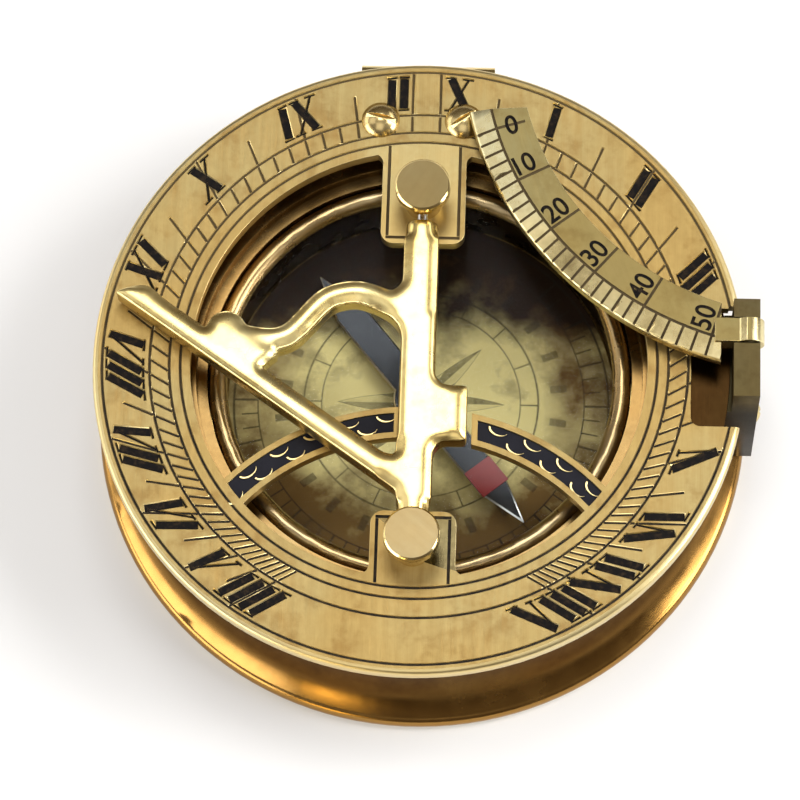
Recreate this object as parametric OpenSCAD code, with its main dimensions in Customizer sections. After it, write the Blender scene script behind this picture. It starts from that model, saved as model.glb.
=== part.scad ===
// Brass sundial compass: a flared case holds a compass under glass, and carries a hinged hour ring
// with a folding gnomon, and a folding latitude arc that stands up through the notch in the ring.
// Millimetres. The underside is at z = 0, and +Y points to the noon hinge.

/* [Case] */
// Height of the case up to its rim
case_h = 23.7; // [22.5:0.1:30]
// Outer radius of the foot bead
foot_r = 51; // [50:0.5:56]
// Radius of the foot bead's own round edge
foot_bead = 1.6; // [1.2:0.1:2]
// Where the flare meets the foot bead, as an angle up from the bead's widest point
foot_turn = 50; // [40:1:60]
// Radius of the case at its waist
waist_r = 45; // [44.5:0.1:46]
// Height of the waist
waist_z = 13.5; // [12:0.5:15]
// Radius of the rim under the hour ring
rim_r = 47.6; // [47:0.1:48.5]
// Height of the rim's plain band
rim_band = 2.2; // [1.5:0.1:3]
// Thickness of the floor under the compass card
floor_t = 7; // [5:0.1:7.5]
// Radius of the compass bowl
bowl_r = 30.8; // [29:0.1:31.5]
// Inner radius of the hollow in the underside
hollow_in_r = 35.8; // [35.2:0.1:37]
// Outer radius of the hollow in the underside
hollow_out_r = 42; // [40:0.1:42.2]
// Height of the hollow in the underside
hollow_h = 17.5; // [10:0.5:18]

/* [Glass] */
// Depth of the glass seat below the rim
glass_drop = 7.7; // [7:0.1:8.5]
// Thickness of the glass
glass_t = 1.6; // [1.2:0.1:2]
// Width of the ledge that the glass sits on
glass_lap = 2; // [1.5:0.1:2.4]
// Clearance around the glass and its ring
glass_fit = 0.1; // [0.05:0.01:0.2]
// Width of the brass ring that holds the glass
glass_ring_w = 2.9; // [1.5:0.1:3]
// Height of the brass ring that holds the glass
glass_ring_t = 1.5; // [1.2:0.1:1.8]
// Height of that ring's straight edge, below its rounded top
glass_ring_edge = 0.4; // [0.2:0.1:0.8]
// Radius of the lower step above the glass
step_low_r = 34.4; // [34:0.1:35]
// Depth of the lower step below the rim
step_low_drop = 4.3; // [4:0.1:4.6]
// Radius of the upper step above the glass
step_top_r = 36.2; // [35.6:0.1:36.6]
// Depth of the upper step below the rim
step_top_drop = 2.2; // [1.8:0.1:2.6]

/* [Compass] */
// Thickness of the compass card
card_t = 0.5; // [0.3:0.1:0.8]
// Clearance around the compass card
card_fit = 0.4; // [0.2:0.1:0.8]
// Radius of the needle's pivot
pivot_r = 1; // [0.8:0.05:1.2]
// Depth of the pivot in the floor
pivot_seat = 3; // [2:0.5:4]
// Length of the pivot's point
pivot_point = 1.4; // [1.2:0.1:1.6]
// Length of the needle over its points
needle_l = 52.6; // [46:0.2:56]
// Width of the needle
needle_w = 4.9; // [4:0.1:5.5]
// Thickness of the needle
needle_t = 0.5; // [0.3:0.05:0.7]
// Length of each point of the needle
needle_point = 8; // [6:0.5:10]
// Height of the needle above the card
needle_rise = 1.9; // [1.7:0.1:2.4]
// Radius of the needle's hub
hub_r = 4.3; // [3.6:0.1:5]
// Heading of the needle's plain point, anticlockwise from the noon side
needle_heading = 39.4; // [0:0.1:360]
// Radius of the needle's cap
cap_r = 2.6; // [2.3:0.1:3]
// Height of the cap above the needle
cap_h = 1.8; // [1.5:0.1:2.2]
// Running clearance of the cap over the pivot's point
cap_fit = 0.1; // [0.08:0.01:0.15]
// Distance of the red marker from the needle's centre
marker_x = 14.2; // [12:0.1:14.5]
// Length of the red marker
marker_l = 4.9; // [4:0.1:5.4]
// Thickness of the red marker
marker_t = 0.15; // [0.1:0.01:0.2]

/* [Hour ring] */
// Outer radius of the hour ring
ring_r = 50; // [49.5:0.1:50.8]
// Inner radius of the hour ring
ring_bore_r = 35; // [34.6:0.1:35.5]
// Thickness of the hour ring
ring_t = 2; // [1.6:0.1:2.4]
// Gap between the hour ring and the case rim
ring_gap = 0.3; // [0.2:0.05:0.5]
// Width of the two tabs
tab_w = 13; // [12:0.1:14]
// Distance of the noon tab's end from the centre
tab_n_y = 19.4; // [18.5:0.1:20]
// Distance of the far tab's end from the centre
tab_s_y = 24.3; // [23:0.1:25]
// Radius of the tabs' corners
tab_corner = 2; // [1:0.1:3]
// Radius of the fillets where the tabs meet the ring
tab_fillet = 1.5; // [1:0.1:2]

/* [Notch] */
// Distance of the notch's inner side from the centre
notch_x = 41.6; // [41:0.1:42.5]
// How far the notch reaches on the far side of the centre
notch_s_y = 9.7; // [9:0.1:11]
// How far the notch reaches on the noon side of the centre
notch_n_y = 9.6; // [9.4:0.1:10]
// Radius of the notch's corners
notch_corner = 1.5; // [0.5:0.1:2]
// Clearance between the ring and the bracket's lugs
notch_gap = 0.6; // [0.4:0.1:1]

/* [Bridge] */
// Outer radius of the bridge's curve
bridge_r = 40.1; // [38:0.1:43]
// Width of the bridge
bridge_w = 4.9; // [4.4:0.1:5.4]
// Distance of the bridge's crown from the centre
bridge_crown = 7.5; // [7:0.1:8]
// Width of the bridge's plain border
bridge_border = 0.9; // [0.7:0.1:1.2]
// Depth of the recess for the black enamel
recess_d = 0.7; // [0.5:0.1:1]
// Thickness of the black enamel
enamel_t = 0.4; // [0.2:0.05:0.45]

/* [Posts] */
// Distance of the noon post from the centre
post_n_y = 26.2; // [25.5:0.1:27]
// Distance of the far post from the centre
post_s_y = 30.3; // [29.5:0.1:31]
// Height of the posts above the ring
post_h = 7.5; // [7:0.1:8.5]
// Radius of the posts' heads
post_head_r = 4.25; // [3.8:0.05:4.6]
// Thickness of the posts' heads
post_head_t = 2.1; // [1.8:0.1:2.2]
// Radius of the posts' necks
post_neck_r = 2.85; // [2.5:0.05:3.1]
// Chamfer of the posts' heads
post_chamfer = 0.3; // [0.2:0.05:0.5]
// Radius of the riveted end in the tab
rivet_r = 1.6; // [1.2:0.1:2]

/* [Gnomon] */
// Height of the gnomon's pivot above the ring
gnomon_axis = 2.7; // [2.5:0.05:2.8]
// Thickness of the gnomon
gnomon_t = 4.3; // [3.6:0.1:4.6]
// Width of the gnomon's bar
bar_w = 5.4; // [4.8:0.1:5.8]
// Clearance between the bar's turned ends and the tabs
turned_gap = 0.15; // [0.1:0.05:0.3]
// Gap between the bar and the noon post's neck
bar_gap_n = 1.6; // [1:0.1:2.2]
// Gap between the bar and the far post's neck
bar_gap_s = 0.8; // [0.5:0.1:1.2]
// Angle between the bar and the style
style_angle = 54.8; // [50:0.1:58]
// Distance from the bar's far end to the root of the style's outer edge
style_root = 4.2; // [3.5:0.1:5]
// Width of the style
style_w = 3.75; // [3.2:0.05:4.2]
// Length of the style's outer edge
style_l = 53.8; // [50:0.1:54.5]
// Width of the curved strut
strut_w = 3.7; // [3:0.1:4]
// Where the strut meets the bar, from the centre
strut_y = 8; // [6:0.1:10]
// Distance of the hump along the style from its root
hump_s = 36.5; // [34:0.1:39]
// Radius of the hump on the style
hump_r = 3; // [2.6:0.1:3.3]
// How far the stop lug stands out from the bar
lug_l = 5; // [4:0.1:5.4]
// Length of the stop lug along the bar
lug_w = 9; // [8:0.1:10]
// Distance of the lug's noon side from the centre
lug_y = 5.4; // [5:0.1:6]
// Radius of the gnomon's pivots
pivot_pin_r = 0.8; // [0.6:0.05:1]
// Length of each pivot inside the bar
pivot_pin_in = 5; // [4:0.5:7]
// Length of each pivot inside a post
pivot_pin_out = 3; // [2:0.1:3.5]
// Clearance of the stop lug in the bridge's slot
stop_gap = 0.4; // [0.3:0.05:0.8]

/* [Ring hinge] */
// Distance of the ring's hinge axis from the centre
hinge_y = 49.3; // [49:0.1:49.8]
// Radius of the hinge barrel
barrel_r = 1.9; // [1.6:0.05:1.9]
// Gap between the barrel and the underside of the ring
barrel_gap = 0.1; // [0.08:0.01:0.3]
// Radius of the hinge pin
hinge_pin_r = 0.8; // [0.6:0.05:1]
// Width of the whole hinge
hinge_w = 21; // [18:0.5:24]
// Width of the middle knuckle
knuckle_w = 6.8; // [5:0.2:8]
// Side clearance between knuckles
knuckle_gap = 0.15; // [0.1:0.05:0.3]
// Thickness of the leaf under the ring
leaf_t = 1.6; // [1.2:0.1:1.8]
// Distance of the leaf's inner end from the centre
leaf_y = 36.4; // [36.2:0.1:37]
// Distance of the hinge block's flat seat from the centre
block_seat_y = 43.5; // [43.2:0.1:44]
// Thickness of the hinge block
block_t = 3.6; // [3:0.1:4]
// Height of the hinge block's lower edge
block_z = 10.5; // [9:0.5:12]
// Clearance of the hinge parts in the case
block_fit = 0.1; // [0.05:0.05:0.3]

/* [Latitude arc] */
// Distance of the arc's pin from the centre
arc_pin_x = 50.3; // [50:0.1:50.6]
// Height of the arc's pin above the ring
arc_axis = 3.2; // [3.1:0.05:3.6]
// How far the arc's centre lies outside its pin
arc_center_dx = 9.5; // [9:0.1:10]
// Distance of the arc's centre from the middle of the ring, along the noon line
arc_center_y = 52.1; // [51.5:0.1:52.5]
// Outer radius of the arc
arc_out_r = 54.3; // [53.8:0.1:54.8]
// Radius of the line between the arc's ladder and its numbers
arc_mid_r = 51; // [50.5:0.1:51.5]
// Inner radius of the arc
arc_in_r = 45.5; // [45:0.1:46]
// Thickness of the arc
arc_t = 2.5; // [2:0.1:2.6]
// Thickness of the arc's outer edge, below its bevel
arc_edge_t = 1.5; // [1:0.1:1.8]
// Angle at which the arc's tip ends
arc_tip_angle = 12.6; // [8:0.2:14]
// Slant of the arc's tip
arc_tip_slant = 9; // [4:1:30]
// Gap between the arc's root and the lugs
arc_root_gap = 1.9; // [1.5:0.1:2.5]
// Width of the arc's tongue between the lugs
tongue_w = 3.8; // [3:0.1:4]
// Thickness of the arc's tongue
tongue_t = 3.4; // [3:0.1:4]
// Radius of the tongue's round end
tongue_r = 2.3; // [2:0.1:2.4]
// Distance of the tongue's middle from the centre, along the noon line
tongue_y = 4.3; // [4:0.1:4.6]

/* [Arc bracket] */
// Distance of the bracket's outer face from the centre
bracket_x = 51.9; // [51.6:0.1:52.4]
// Width of the bracket's lugs across the pin
bracket_w = 4; // [3.8:0.1:4.2]
// Thickness of the lug on the noon side
lug_n_t = 3; // [2.6:0.1:3.2]
// Length of the lug on the far side
lug_s_t = 8.6; // [4:0.1:8.8]
// Height of the lugs above the pin
lug_top = 1.5; // [1.4:0.1:2.4]
// Side clearance of the tongue between the lugs
tongue_gap = 0.2; // [0.1:0.05:0.3]
// Clearance under the tongue's round end
tongue_floor_gap = 0.3; // [0.2:0.05:0.5]
// Height of the bracket's lower edge
bracket_z = 4; // [3.6:0.1:6]
// Radius of the arc's pin
arc_pin_r = 0.8; // [0.6:0.05:1]
// Length of the arc's pin in the far lug
arc_pin_seat = 3; // [2:0.5:4]
// Clearance between the bracket and the case
bracket_fit = 0.05; // [0.03:0.01:0.1]

/* [Fasteners] */
// Radius of the ring screws' heads
ring_screw_r = 3; // [2.4:0.1:3.1]
// Height of the ring screws' heads
ring_screw_h = 1.6; // [1.2:0.1:1.6]
// Spacing of the ring screws
ring_screw_gap = 13; // [11:0.5:14]
// Distance of the ring screws from the centre, along the noon line
ring_screw_y = 40.2; // [39.5:0.1:40.5]
// How far the pair of ring screws sits off the noon line
ring_screw_off = -0.6; // [-1:0.1:1]
// Radius of the ring screws' shanks
ring_screw_shank = 1.25; // [1:0.05:1.5]
// Radius of the small screws' heads
small_screw_r = 1.9; // [1.6:0.1:2.2]
// Height of the small screws' heads
small_screw_h = 1; // [0.8:0.1:1.2]
// Radius of the small screws' shanks
small_screw_shank = 1; // [0.8:0.05:1.2]
// Width of the screws' slots
slot_w = 0.7; // [0.5:0.05:0.9]
// Spacing of the hinge block's screws
block_screw_gap = 14; // [12:0.5:15]
// Spacing of the bracket's screws
bracket_screw_gap = 8; // [7:0.5:9]
// Running clearance of pins in their bores
run_fit = 0.05; // [0.03:0.01:0.08]
// Clearance of pins and screws in the pieces that hold them
hold_fit = 0.02; // [0.01:0.01:0.03]

/* [Hidden] */
$fn = 96;

brass = [0.80, 0.64, 0.33];
light_brass = [0.86, 0.72, 0.42];
dark_brass = [0.62, 0.46, 0.20];
steel = [0.72, 0.73, 0.74];
e = 0.01;
far = 200;

// Heights of the stack
seat_z = case_h - glass_drop;
glass_top = seat_z + glass_t;
pocket_r = bowl_r + glass_lap;
card_top = floor_t + card_t;
needle_z = card_top + needle_rise;
point_top = needle_z + 0.55 * cap_h;
ring_z = case_h + ring_gap;
ring_top = ring_z + ring_t;
gnomon_z = ring_top + gnomon_axis;
hinge_z = ring_z - barrel_gap - barrel_r;
leaf_z = ring_z - leaf_t;
block_top = hinge_z - barrel_r - barrel_gap;
arc_z = ring_top + arc_axis;

// Flare of the case: one round cut through the waist, that ends just inside the foot bead
flare_sink = 0.05;
neck_r = foot_r - foot_bead + (foot_bead - flare_sink) * cos(foot_turn);
neck_z = foot_bead + (foot_bead - flare_sink) * sin(foot_turn);
flare_dx = neck_r - waist_r;
flare_dz = waist_z - neck_z;
flare_r = (flare_dx * flare_dx + flare_dz * flare_dz) / (2 * flare_dx);

// Gnomon
bar_n_y = post_n_y - post_neck_r - bar_gap_n;
bar_s_y = -(post_s_y - post_neck_r - bar_gap_s);
style_y = bar_s_y + style_root;
lug_reach = bar_w / 2 + lug_l;
turned_r = gnomon_axis - turned_gap;

// Slot of the bridge, which the stop lug sweeps through
slot_left = -(gnomon_t / 2 + stop_gap);
slot_right = norm([lug_reach, gnomon_t / 2]) + stop_gap;

// Arc and bracket
arc_center_x = arc_pin_x + arc_center_dx;
bracket_in_x = bracket_x - bracket_w;
arc_root_x = bracket_in_x - arc_root_gap;
arc_root_angle = acos((arc_center_x - arc_root_x) / arc_out_r);
tip_cut = (arc_out_r - arc_in_r + 1) * tan(arc_tip_slant);
lug_n_y = tongue_y + tongue_w / 2 + tongue_gap;
lug_s_y = tongue_y - tongue_w / 2 - tongue_gap;
bracket_n_y = lug_n_y + lug_n_t;
bracket_s_y = lug_s_y - lug_s_t;
slot_z = arc_z - tongue_r - tongue_floor_gap;
bracket_mid_y = (bracket_n_y + bracket_s_y) / 2;
arc_pin_l = bracket_n_y - lug_s_y + arc_pin_seat;

// A box from one corner to the other
module span(a, b) translate(a) cube(b - a);

// A smooth line through the points of P, with n steps between neighbours
function blend(a, b, c, d, t) =
    0.5 * (2 * b + (c - a) * t + (2 * a - 5 * b + 4 * c - d) * t * t + (3 * b - a - 3 * c + d) * t * t * t);
function through(P, n = 5) =
    [for (i = [0 : len(P) - 2]) for (k = [0 : n - (i < len(P) - 2 ? 1 : 0)])
        blend(P[max(i - 1, 0)], P[i], P[i + 1], P[min(i + 2, len(P) - 1)], k / n)];

// The side of a line of points, w to its left
function side(P, w) =
    [for (i = [0 : len(P) - 1])
        let (d = P[min(i + 1, len(P) - 1)] - P[max(i - 1, 0)])
        P[i] + w * [-d[1], d[0]] / norm(d)];
function reversed(P) = [for (i = [len(P) - 1 : -1 : 0]) P[i]];

// A band of width w along a line of points
module band(P, w) polygon(concat(side(P, w / 2), reversed(side(P, -w / 2))));

// A domed screw with a slot: the head rises from z = 0, the shank goes down
module screw(head_r, head_h, shank_r, shank_l) {
    dome_r = (head_r * head_r + head_h * head_h) / (2 * head_h);
    difference() {
        union() {
            intersection() {
                translate([0, 0, head_h - dome_r]) sphere(dome_r);
                cylinder(r = head_r + 1, h = head_h + 1);
            }
            translate([0, 0, -shank_l]) cylinder(r = shank_r, h = shank_l + head_h / 3);
        }
        span([-far, -slot_w / 2, head_h * 0.45], [far, slot_w / 2, head_h + 1]);
    }
}

// Outer half-section of the case, also the shape that the bracket's back follows
module case_outline(grow = 0) {
    offset_r = foot_r - foot_bead;
    difference() {
        polygon([[0, 0], [offset_r, 0], [neck_r, neck_z],
                 [rim_r + grow, case_h - rim_band], [rim_r + grow, case_h + grow], [0, case_h + grow]]);
        translate([waist_r + flare_r, waist_z]) circle(flare_r - grow, $fn = 160);
    }
    translate([offset_r, foot_bead]) circle(foot_bead + grow, $fn = 48);
    translate([waist_r - 2, case_h - rim_band]) square([rim_r - waist_r + 2 + grow, rim_band + grow]);
}

module case_section() {
    difference() {
        case_outline();
        translate([-e, floor_t]) square([bowl_r + e, case_h]);
        translate([-e, seat_z]) square([pocket_r + e, case_h]);
        translate([-e, case_h - step_low_drop]) square([step_low_r + e, case_h]);
        translate([-e, case_h - step_top_drop]) square([step_top_r + e, case_h]);
        translate([hollow_in_r, -1]) square([hollow_out_r - hollow_in_r, hollow_h + 1]);
    }
}

module block_screw_places() {
    z = (block_z + block_top) / 2;
    for (s = [-1, 1]) translate([s * block_screw_gap / 2, block_seat_y + block_t, z]) rotate([-90, 0, 0]) children();
}

module bracket_screw_places() {
    for (s = [-1, 1])
        translate([bracket_x, bracket_mid_y + s * bracket_screw_gap / 2, waist_z]) rotate([0, 90, 0]) children();
}

// Sub-parts of the case
module case_body() color(dark_brass) {
    w = hinge_w / 2 + block_fit;
    difference() {
        rotate_extrude($fn = 180) case_section();
        // pocket of the hinge block and the knuckles
        span([-w, block_seat_y - block_fit, block_z - block_fit], [w, far, far]);
        // pocket of the leaf
        span([-w, leaf_y - 0.4, leaf_z - 2 * block_fit], [w, far, far]);
        translate([0, 0, floor_t - pivot_seat]) cylinder(r = pivot_r + hold_fit, h = pivot_seat + 1);
        block_screw_places() translate([0, 0, -9]) cylinder(r = small_screw_shank + hold_fit, h = 10);
        bracket_screw_places() translate([0, 0, -12]) cylinder(r = small_screw_shank + hold_fit, h = 13);
    }
}

module compass_card() color([0.80, 0.76, 0.55]) {
    translate([0, 0, floor_t]) difference() {
        cylinder(r = bowl_r - card_fit, h = card_t);
        translate([0, 0, -1]) cylinder(r = pivot_r + hold_fit, h = card_t + 2);
    }
}

module pivot_pin() color(steel) {
    base_z = floor_t - pivot_seat;
    cone_z = point_top - pivot_point;
    translate([0, 0, base_z]) cylinder(r = pivot_r, h = cone_z - base_z);
    translate([0, 0, cone_z]) cylinder(r1 = pivot_r, r2 = 0.1, h = pivot_point);
}

module needle_outline() {
    l = needle_l / 2;
    w = needle_w / 2;
    polygon([[0, l], [-w, l - needle_point], [-w, needle_point - l], [0, -l],
             [w, needle_point - l], [w, l - needle_point]]);
    circle(hub_r);
}

module needle_blade() color([0.80, 0.82, 0.84]) {
    rotate(needle_heading) translate([0, 0, needle_z]) difference() {
        linear_extrude(needle_t) needle_outline();
        translate([0, 0, -1]) cylinder(r = 0.7 * cap_r + hold_fit, h = needle_t + 2);
    }
}

module needle_marker() color([0.42, 0.03, 0.05]) {
    rotate(needle_heading)
        span([-needle_w / 2, -marker_x - marker_l, needle_z + needle_t],
             [needle_w / 2, -marker_x, needle_z + needle_t + marker_t]);
}

module needle_cap() color(light_brass) {
    spigot = 0.4;
    low = needle_z - spigot;
    top = needle_z + needle_t + cap_h;
    cone_z = point_top - pivot_point;
    difference() {
        union() {
            translate([0, 0, low]) cylinder(r = 0.7 * cap_r, h = needle_t + spigot + e);
            translate([0, 0, needle_z + needle_t]) cylinder(r1 = cap_r, r2 = 0.6 * cap_r, h = cap_h);
        }
        translate([0, 0, low - 1]) cylinder(r = pivot_r + cap_fit, h = max(cone_z - low + 1, 0) + cap_fit + e);
        translate([0, 0, cone_z + cap_fit]) cylinder(r1 = pivot_r + cap_fit, r2 = 0.1 + cap_fit, h = pivot_point);
    }
}

module glass() color([0.75, 0.85, 0.85, 0.4]) {
    translate([0, 0, seat_z]) cylinder(r = pocket_r - glass_fit, h = glass_t);
}

module glass_ring() color(light_brass) {
    w = glass_ring_w / 2;
    round_h = glass_ring_t - glass_ring_edge;
    round_r = (w * w + round_h * round_h) / (2 * round_h);
    turn = atan2(w, round_r - round_h);
    steps = 24;
    rotate_extrude($fn = 160) translate([pocket_r - glass_fit - w, glass_top])
        polygon(concat([[w, 0]],
                       [for (i = [0 : steps]) let (a = turn * (1 - 2 * i / steps))
                           [round_r * sin(a), glass_ring_t - round_r + round_r * cos(a)]],
                       [[-w, 0]]));
}

// Flat shapes of the hour ring
module tab(end_y) {
    root_y = sqrt(ring_bore_r * ring_bore_r - tab_w * tab_w / 4);
    f = tab_fillet;
    w = tab_w / 2;
    translate([-w, end_y + tab_corner]) square([tab_w, ring_bore_r + 1 - end_y - tab_corner]);
    translate([tab_corner - w, end_y]) square([tab_w - 2 * tab_corner, tab_corner + e]);
    for (s = [-1, 1]) {
        translate([s * (w - tab_corner), end_y + tab_corner]) circle(tab_corner, $fn = 48);
        difference() {
            translate([s > 0 ? w - e : -w - f + e, root_y - f]) square([f, f + 0.6]);
            translate([s * (w + f), root_y - f]) circle(f, $fn = 48);
        }
    }
}

module bridge_band(inset) {
    translate([0, -bridge_crown - bridge_r]) difference() {
        circle(bridge_r - inset, $fn = 160);
        circle(bridge_r - bridge_w + inset, $fn = 160);
    }
}

module bridge_slot(margin) {
    translate([slot_left - margin, -far / 2]) square([slot_right - slot_left + 2 * margin, far]);
}

module bridge_recess(inset) {
    difference() {
        intersection() {
            bridge_band(bridge_border + inset);
            circle(ring_bore_r - inset, $fn = 160);
        }
        bridge_slot(bridge_border + inset);
    }
}

module notch_shape() {
    c = notch_corner;
    translate([notch_x + c, -notch_s_y]) square([far, notch_s_y + notch_n_y]);
    translate([notch_x, c - notch_s_y]) square([c + e, notch_s_y + notch_n_y - 2 * c]);
    for (y = [c - notch_s_y, notch_n_y - c]) translate([notch_x + c, y]) circle(c, $fn = 48);
    translate([bracket_in_x - notch_gap, 0]) square([far, bracket_n_y + notch_gap]);
}

module ring_shape() {
    difference() {
        union() {
            difference() {
                circle(ring_r, $fn = 180);
                circle(ring_bore_r, $fn = 180);
            }
            tab(tab_n_y);
            mirror([0, 1]) tab(tab_s_y);
            difference() {
                intersection() {
                    bridge_band(0);
                    circle(ring_bore_r + 0.5, $fn = 160);
                }
                bridge_slot(0);
            }
        }
        notch_shape();
    }
}

module ring_screw_places() {
    for (s = [-1, 1]) translate([ring_screw_off + s * ring_screw_gap / 2, ring_screw_y]) children();
}

// Sub-parts that tilt with the hour ring
module hour_ring() color(brass) {
    difference() {
        translate([0, 0, ring_z]) linear_extrude(ring_t) ring_shape();
        translate([0, 0, ring_top - recess_d]) linear_extrude(recess_d + 1) bridge_recess(0);
        ring_screw_places() translate([0, 0, ring_z - 1]) cylinder(r = ring_screw_shank + hold_fit, h = ring_t + 2);
        for (y = [post_n_y, -post_s_y])
            translate([0, y, ring_z - 1]) cylinder(r = rivet_r + hold_fit, h = ring_t + 2);
    }
}

module bridge_enamel() color([0.06, 0.06, 0.07]) {
    translate([0, 0, ring_top - recess_d]) linear_extrude(enamel_t) bridge_recess(hold_fit);
}

// A post, its neck bored along Y for the gnomon's pivot on the side that faces the bar
module post(y, toward) color(light_brass) {
    head_z = ring_top + post_h - post_head_t;
    difference() {
        translate([0, y, 0]) {
            translate([0, 0, ring_z]) cylinder(r = rivet_r, h = ring_t + e);
            translate([0, 0, ring_top]) cylinder(r = post_neck_r, h = head_z - ring_top + e);
            translate([0, 0, head_z]) cylinder(r = post_head_r, h = post_head_t - post_chamfer);
            translate([0, 0, head_z + post_head_t - post_chamfer])
                cylinder(r1 = post_head_r, r2 = post_head_r - post_chamfer, h = post_chamfer);
        }
        translate([0, y + toward * post_neck_r, gnomon_z]) rotate([toward * 90, 0, 0])
            translate([0, 0, -1]) cylinder(r = pivot_pin_r + run_fit, h = pivot_pin_out + run_fit + 1, $fn = 48);
    }
}

module north_post() post(post_n_y, -1);
module south_post() post(-post_s_y, 1);

module ring_screws() color(light_brass) {
    for (s = [-1, 1])
        translate([ring_screw_off + s * ring_screw_gap / 2, ring_screw_y, ring_top]) rotate(s < 0 ? -12 : 35)
            screw(ring_screw_r, ring_screw_h, ring_screw_shank, ring_t + leaf_t);
}

module hinge_leaf() color(brass) {
    w = hinge_w / 2;
    k = knuckle_w / 2 + knuckle_gap;
    difference() {
        union() {
            span([-w, leaf_y, leaf_z], [w, hinge_y, ring_z - e]);
            translate([-w, hinge_y, hinge_z]) rotate([0, 90, 0]) cylinder(r = barrel_r, h = hinge_w);
        }
        span([-k, hinge_y - barrel_r - 0.5, leaf_z - 5], [k, far, ring_z + 1]);
        translate([-w - 1, hinge_y, hinge_z]) rotate([0, 90, 0]) cylinder(r = hinge_pin_r + run_fit, h = hinge_w + 2);
        ring_screw_places() translate([0, 0, leaf_z - 1]) cylinder(r = ring_screw_shank + hold_fit, h = leaf_t + 2);
    }
}

// Fixed half of the hinge, in its pocket at the back of the case
module hinge_block() color(dark_brass) {
    w = hinge_w / 2;
    k = knuckle_w / 2;
    difference() {
        union() {
            span([-w, block_seat_y, block_z], [w, block_seat_y + block_t, block_top]);
            span([-k, block_seat_y, block_top - e], [k, block_seat_y + block_t, hinge_z - barrel_r / 2]);
            span([-k, block_seat_y, hinge_z - barrel_r], [k, hinge_y, hinge_z]);
            translate([-k, hinge_y, hinge_z]) rotate([0, 90, 0]) cylinder(r = barrel_r, h = knuckle_w);
        }
        translate([-w, hinge_y, hinge_z]) rotate([0, 90, 0]) cylinder(r = hinge_pin_r + hold_fit, h = hinge_w);
        block_screw_places() translate([0, 0, -block_t - 1]) cylinder(r = small_screw_shank + hold_fit, h = block_t + 2);
    }
}

module block_screws() color(light_brass) {
    block_screw_places() screw(small_screw_r, small_screw_h, small_screw_shank, block_t + 2);
}

module hinge_pin() color(steel) {
    translate([-hinge_w / 2, hinge_y, hinge_z]) rotate([0, 90, 0]) cylinder(r = hinge_pin_r, h = hinge_w);
}

// A point beside the style: s along its outer edge from the root, n across it towards the bar
function on_style(s, n) =
    [-bar_w / 2 - s * sin(style_angle) + n * cos(style_angle), style_y + s * cos(style_angle) + n * sin(style_angle)];
// A point beside the strut's end on the bar
function on_bar(x, y) = [-bar_w / 2 - x, strut_y + y];

// Outline of the gnomon, in pieces that overlap
module bar_shape() {
    translate([-bar_w / 2, bar_s_y]) square([bar_w, bar_n_y - bar_s_y]);
}

module lug_shape() {
    translate([0, -lug_y - lug_w]) square([lug_reach, lug_w]);
}

module lug_fillet(y, up) {
    x = bar_w / 2;
    polygon([[x - 0.5, y + up * 1.6], [x + 0.1, y + up * 1.4], [x + 0.7, y + up * 0.5], [x + 1.6, y - up * 0.1],
             [x - 0.5, y - up * 0.5]]);
}

// The style, with its nose turned up at the end
module style_shape() {
    nose = [[10, 1], [6.6, 1], [4, 1.08], [2.4, 0.92], [1, 0.5], [0, 0.1]];
    polygon(concat([on_style(-2, 0), on_style(style_l, 0)],
                   reversed(through([for (p = nose) on_style(style_l - p[0], p[1] * style_w)])),
                   [on_style(2, style_w), [0, style_y + 4], [0, style_y - 2]]));
}

module hump_shape() {
    translate(on_style(hump_s, style_w + 1.7)) circle(hump_r, $fn = 64);
}

// The web that joins the hump to the strut
module gusset_shape() {
    polygon([on_style(hump_s, style_w + 1.7), on_style(hump_s, 1), on_style(28.6, 1), on_style(28.2, style_w + 0.5),
             on_style(27.6, style_w + 3.2), on_style(31, style_w + 4)]);
}

module strut_shape() {
    band(through([on_style(36, style_w + 1.2), on_style(31.4, style_w + 3.5), on_style(29.4, style_w + 4.9),
                  on_bar(16.8, -5.5), on_bar(14.5, -3), on_bar(12.6, -0.7), on_bar(10.6, 0.8), on_bar(7.3, 1.55),
                  on_bar(4.9, 1.1), on_bar(2.3, 0.1), on_bar(-1, -1)]), strut_w);
}

// Fillets where the strut and the style meet the bar
module strut_fillet_n() {
    polygon([on_bar(-0.5, 4), on_bar(0.3, 2.9), on_bar(1.2, 2), on_bar(3.2, 1.5), on_bar(-0.5, 0)]);
}

module strut_fillet_s() {
    polygon([on_bar(-0.5, -6), on_bar(0, -5.4), on_bar(0.5, -3.9), on_bar(1.6, -2.6), on_bar(3.5, -1.4),
             on_bar(-0.5, 0)]);
}

module style_fillet() {
    x = -bar_w / 2;
    polygon([on_style(2, style_w - 0.5), on_style(5.5, style_w - 0.1), on_style(3.4, style_w + 0.7),
             [x - 0.2, style_y + 8], [x + 0.5, style_y + 9.5], [0, style_y + 4]]);
}

// What is turned off the bar's square end, from inner_y outwards
module turned_waste(inner_y, out) {
    difference() {
        translate([-bar_w, out > 0 ? inner_y : inner_y - far, gnomon_z - bar_w]) cube([2 * bar_w, far, 2 * bar_w]);
        translate([0, inner_y - out, gnomon_z]) rotate([-out * 90, 0, 0]) cylinder(r = turned_r, h = far + 2);
    }
}

module plates() {
    translate([0, 0, gnomon_z - gnomon_t / 2]) for (i = [0 : $children - 1]) linear_extrude(gnomon_t) children(i);
}

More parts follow.
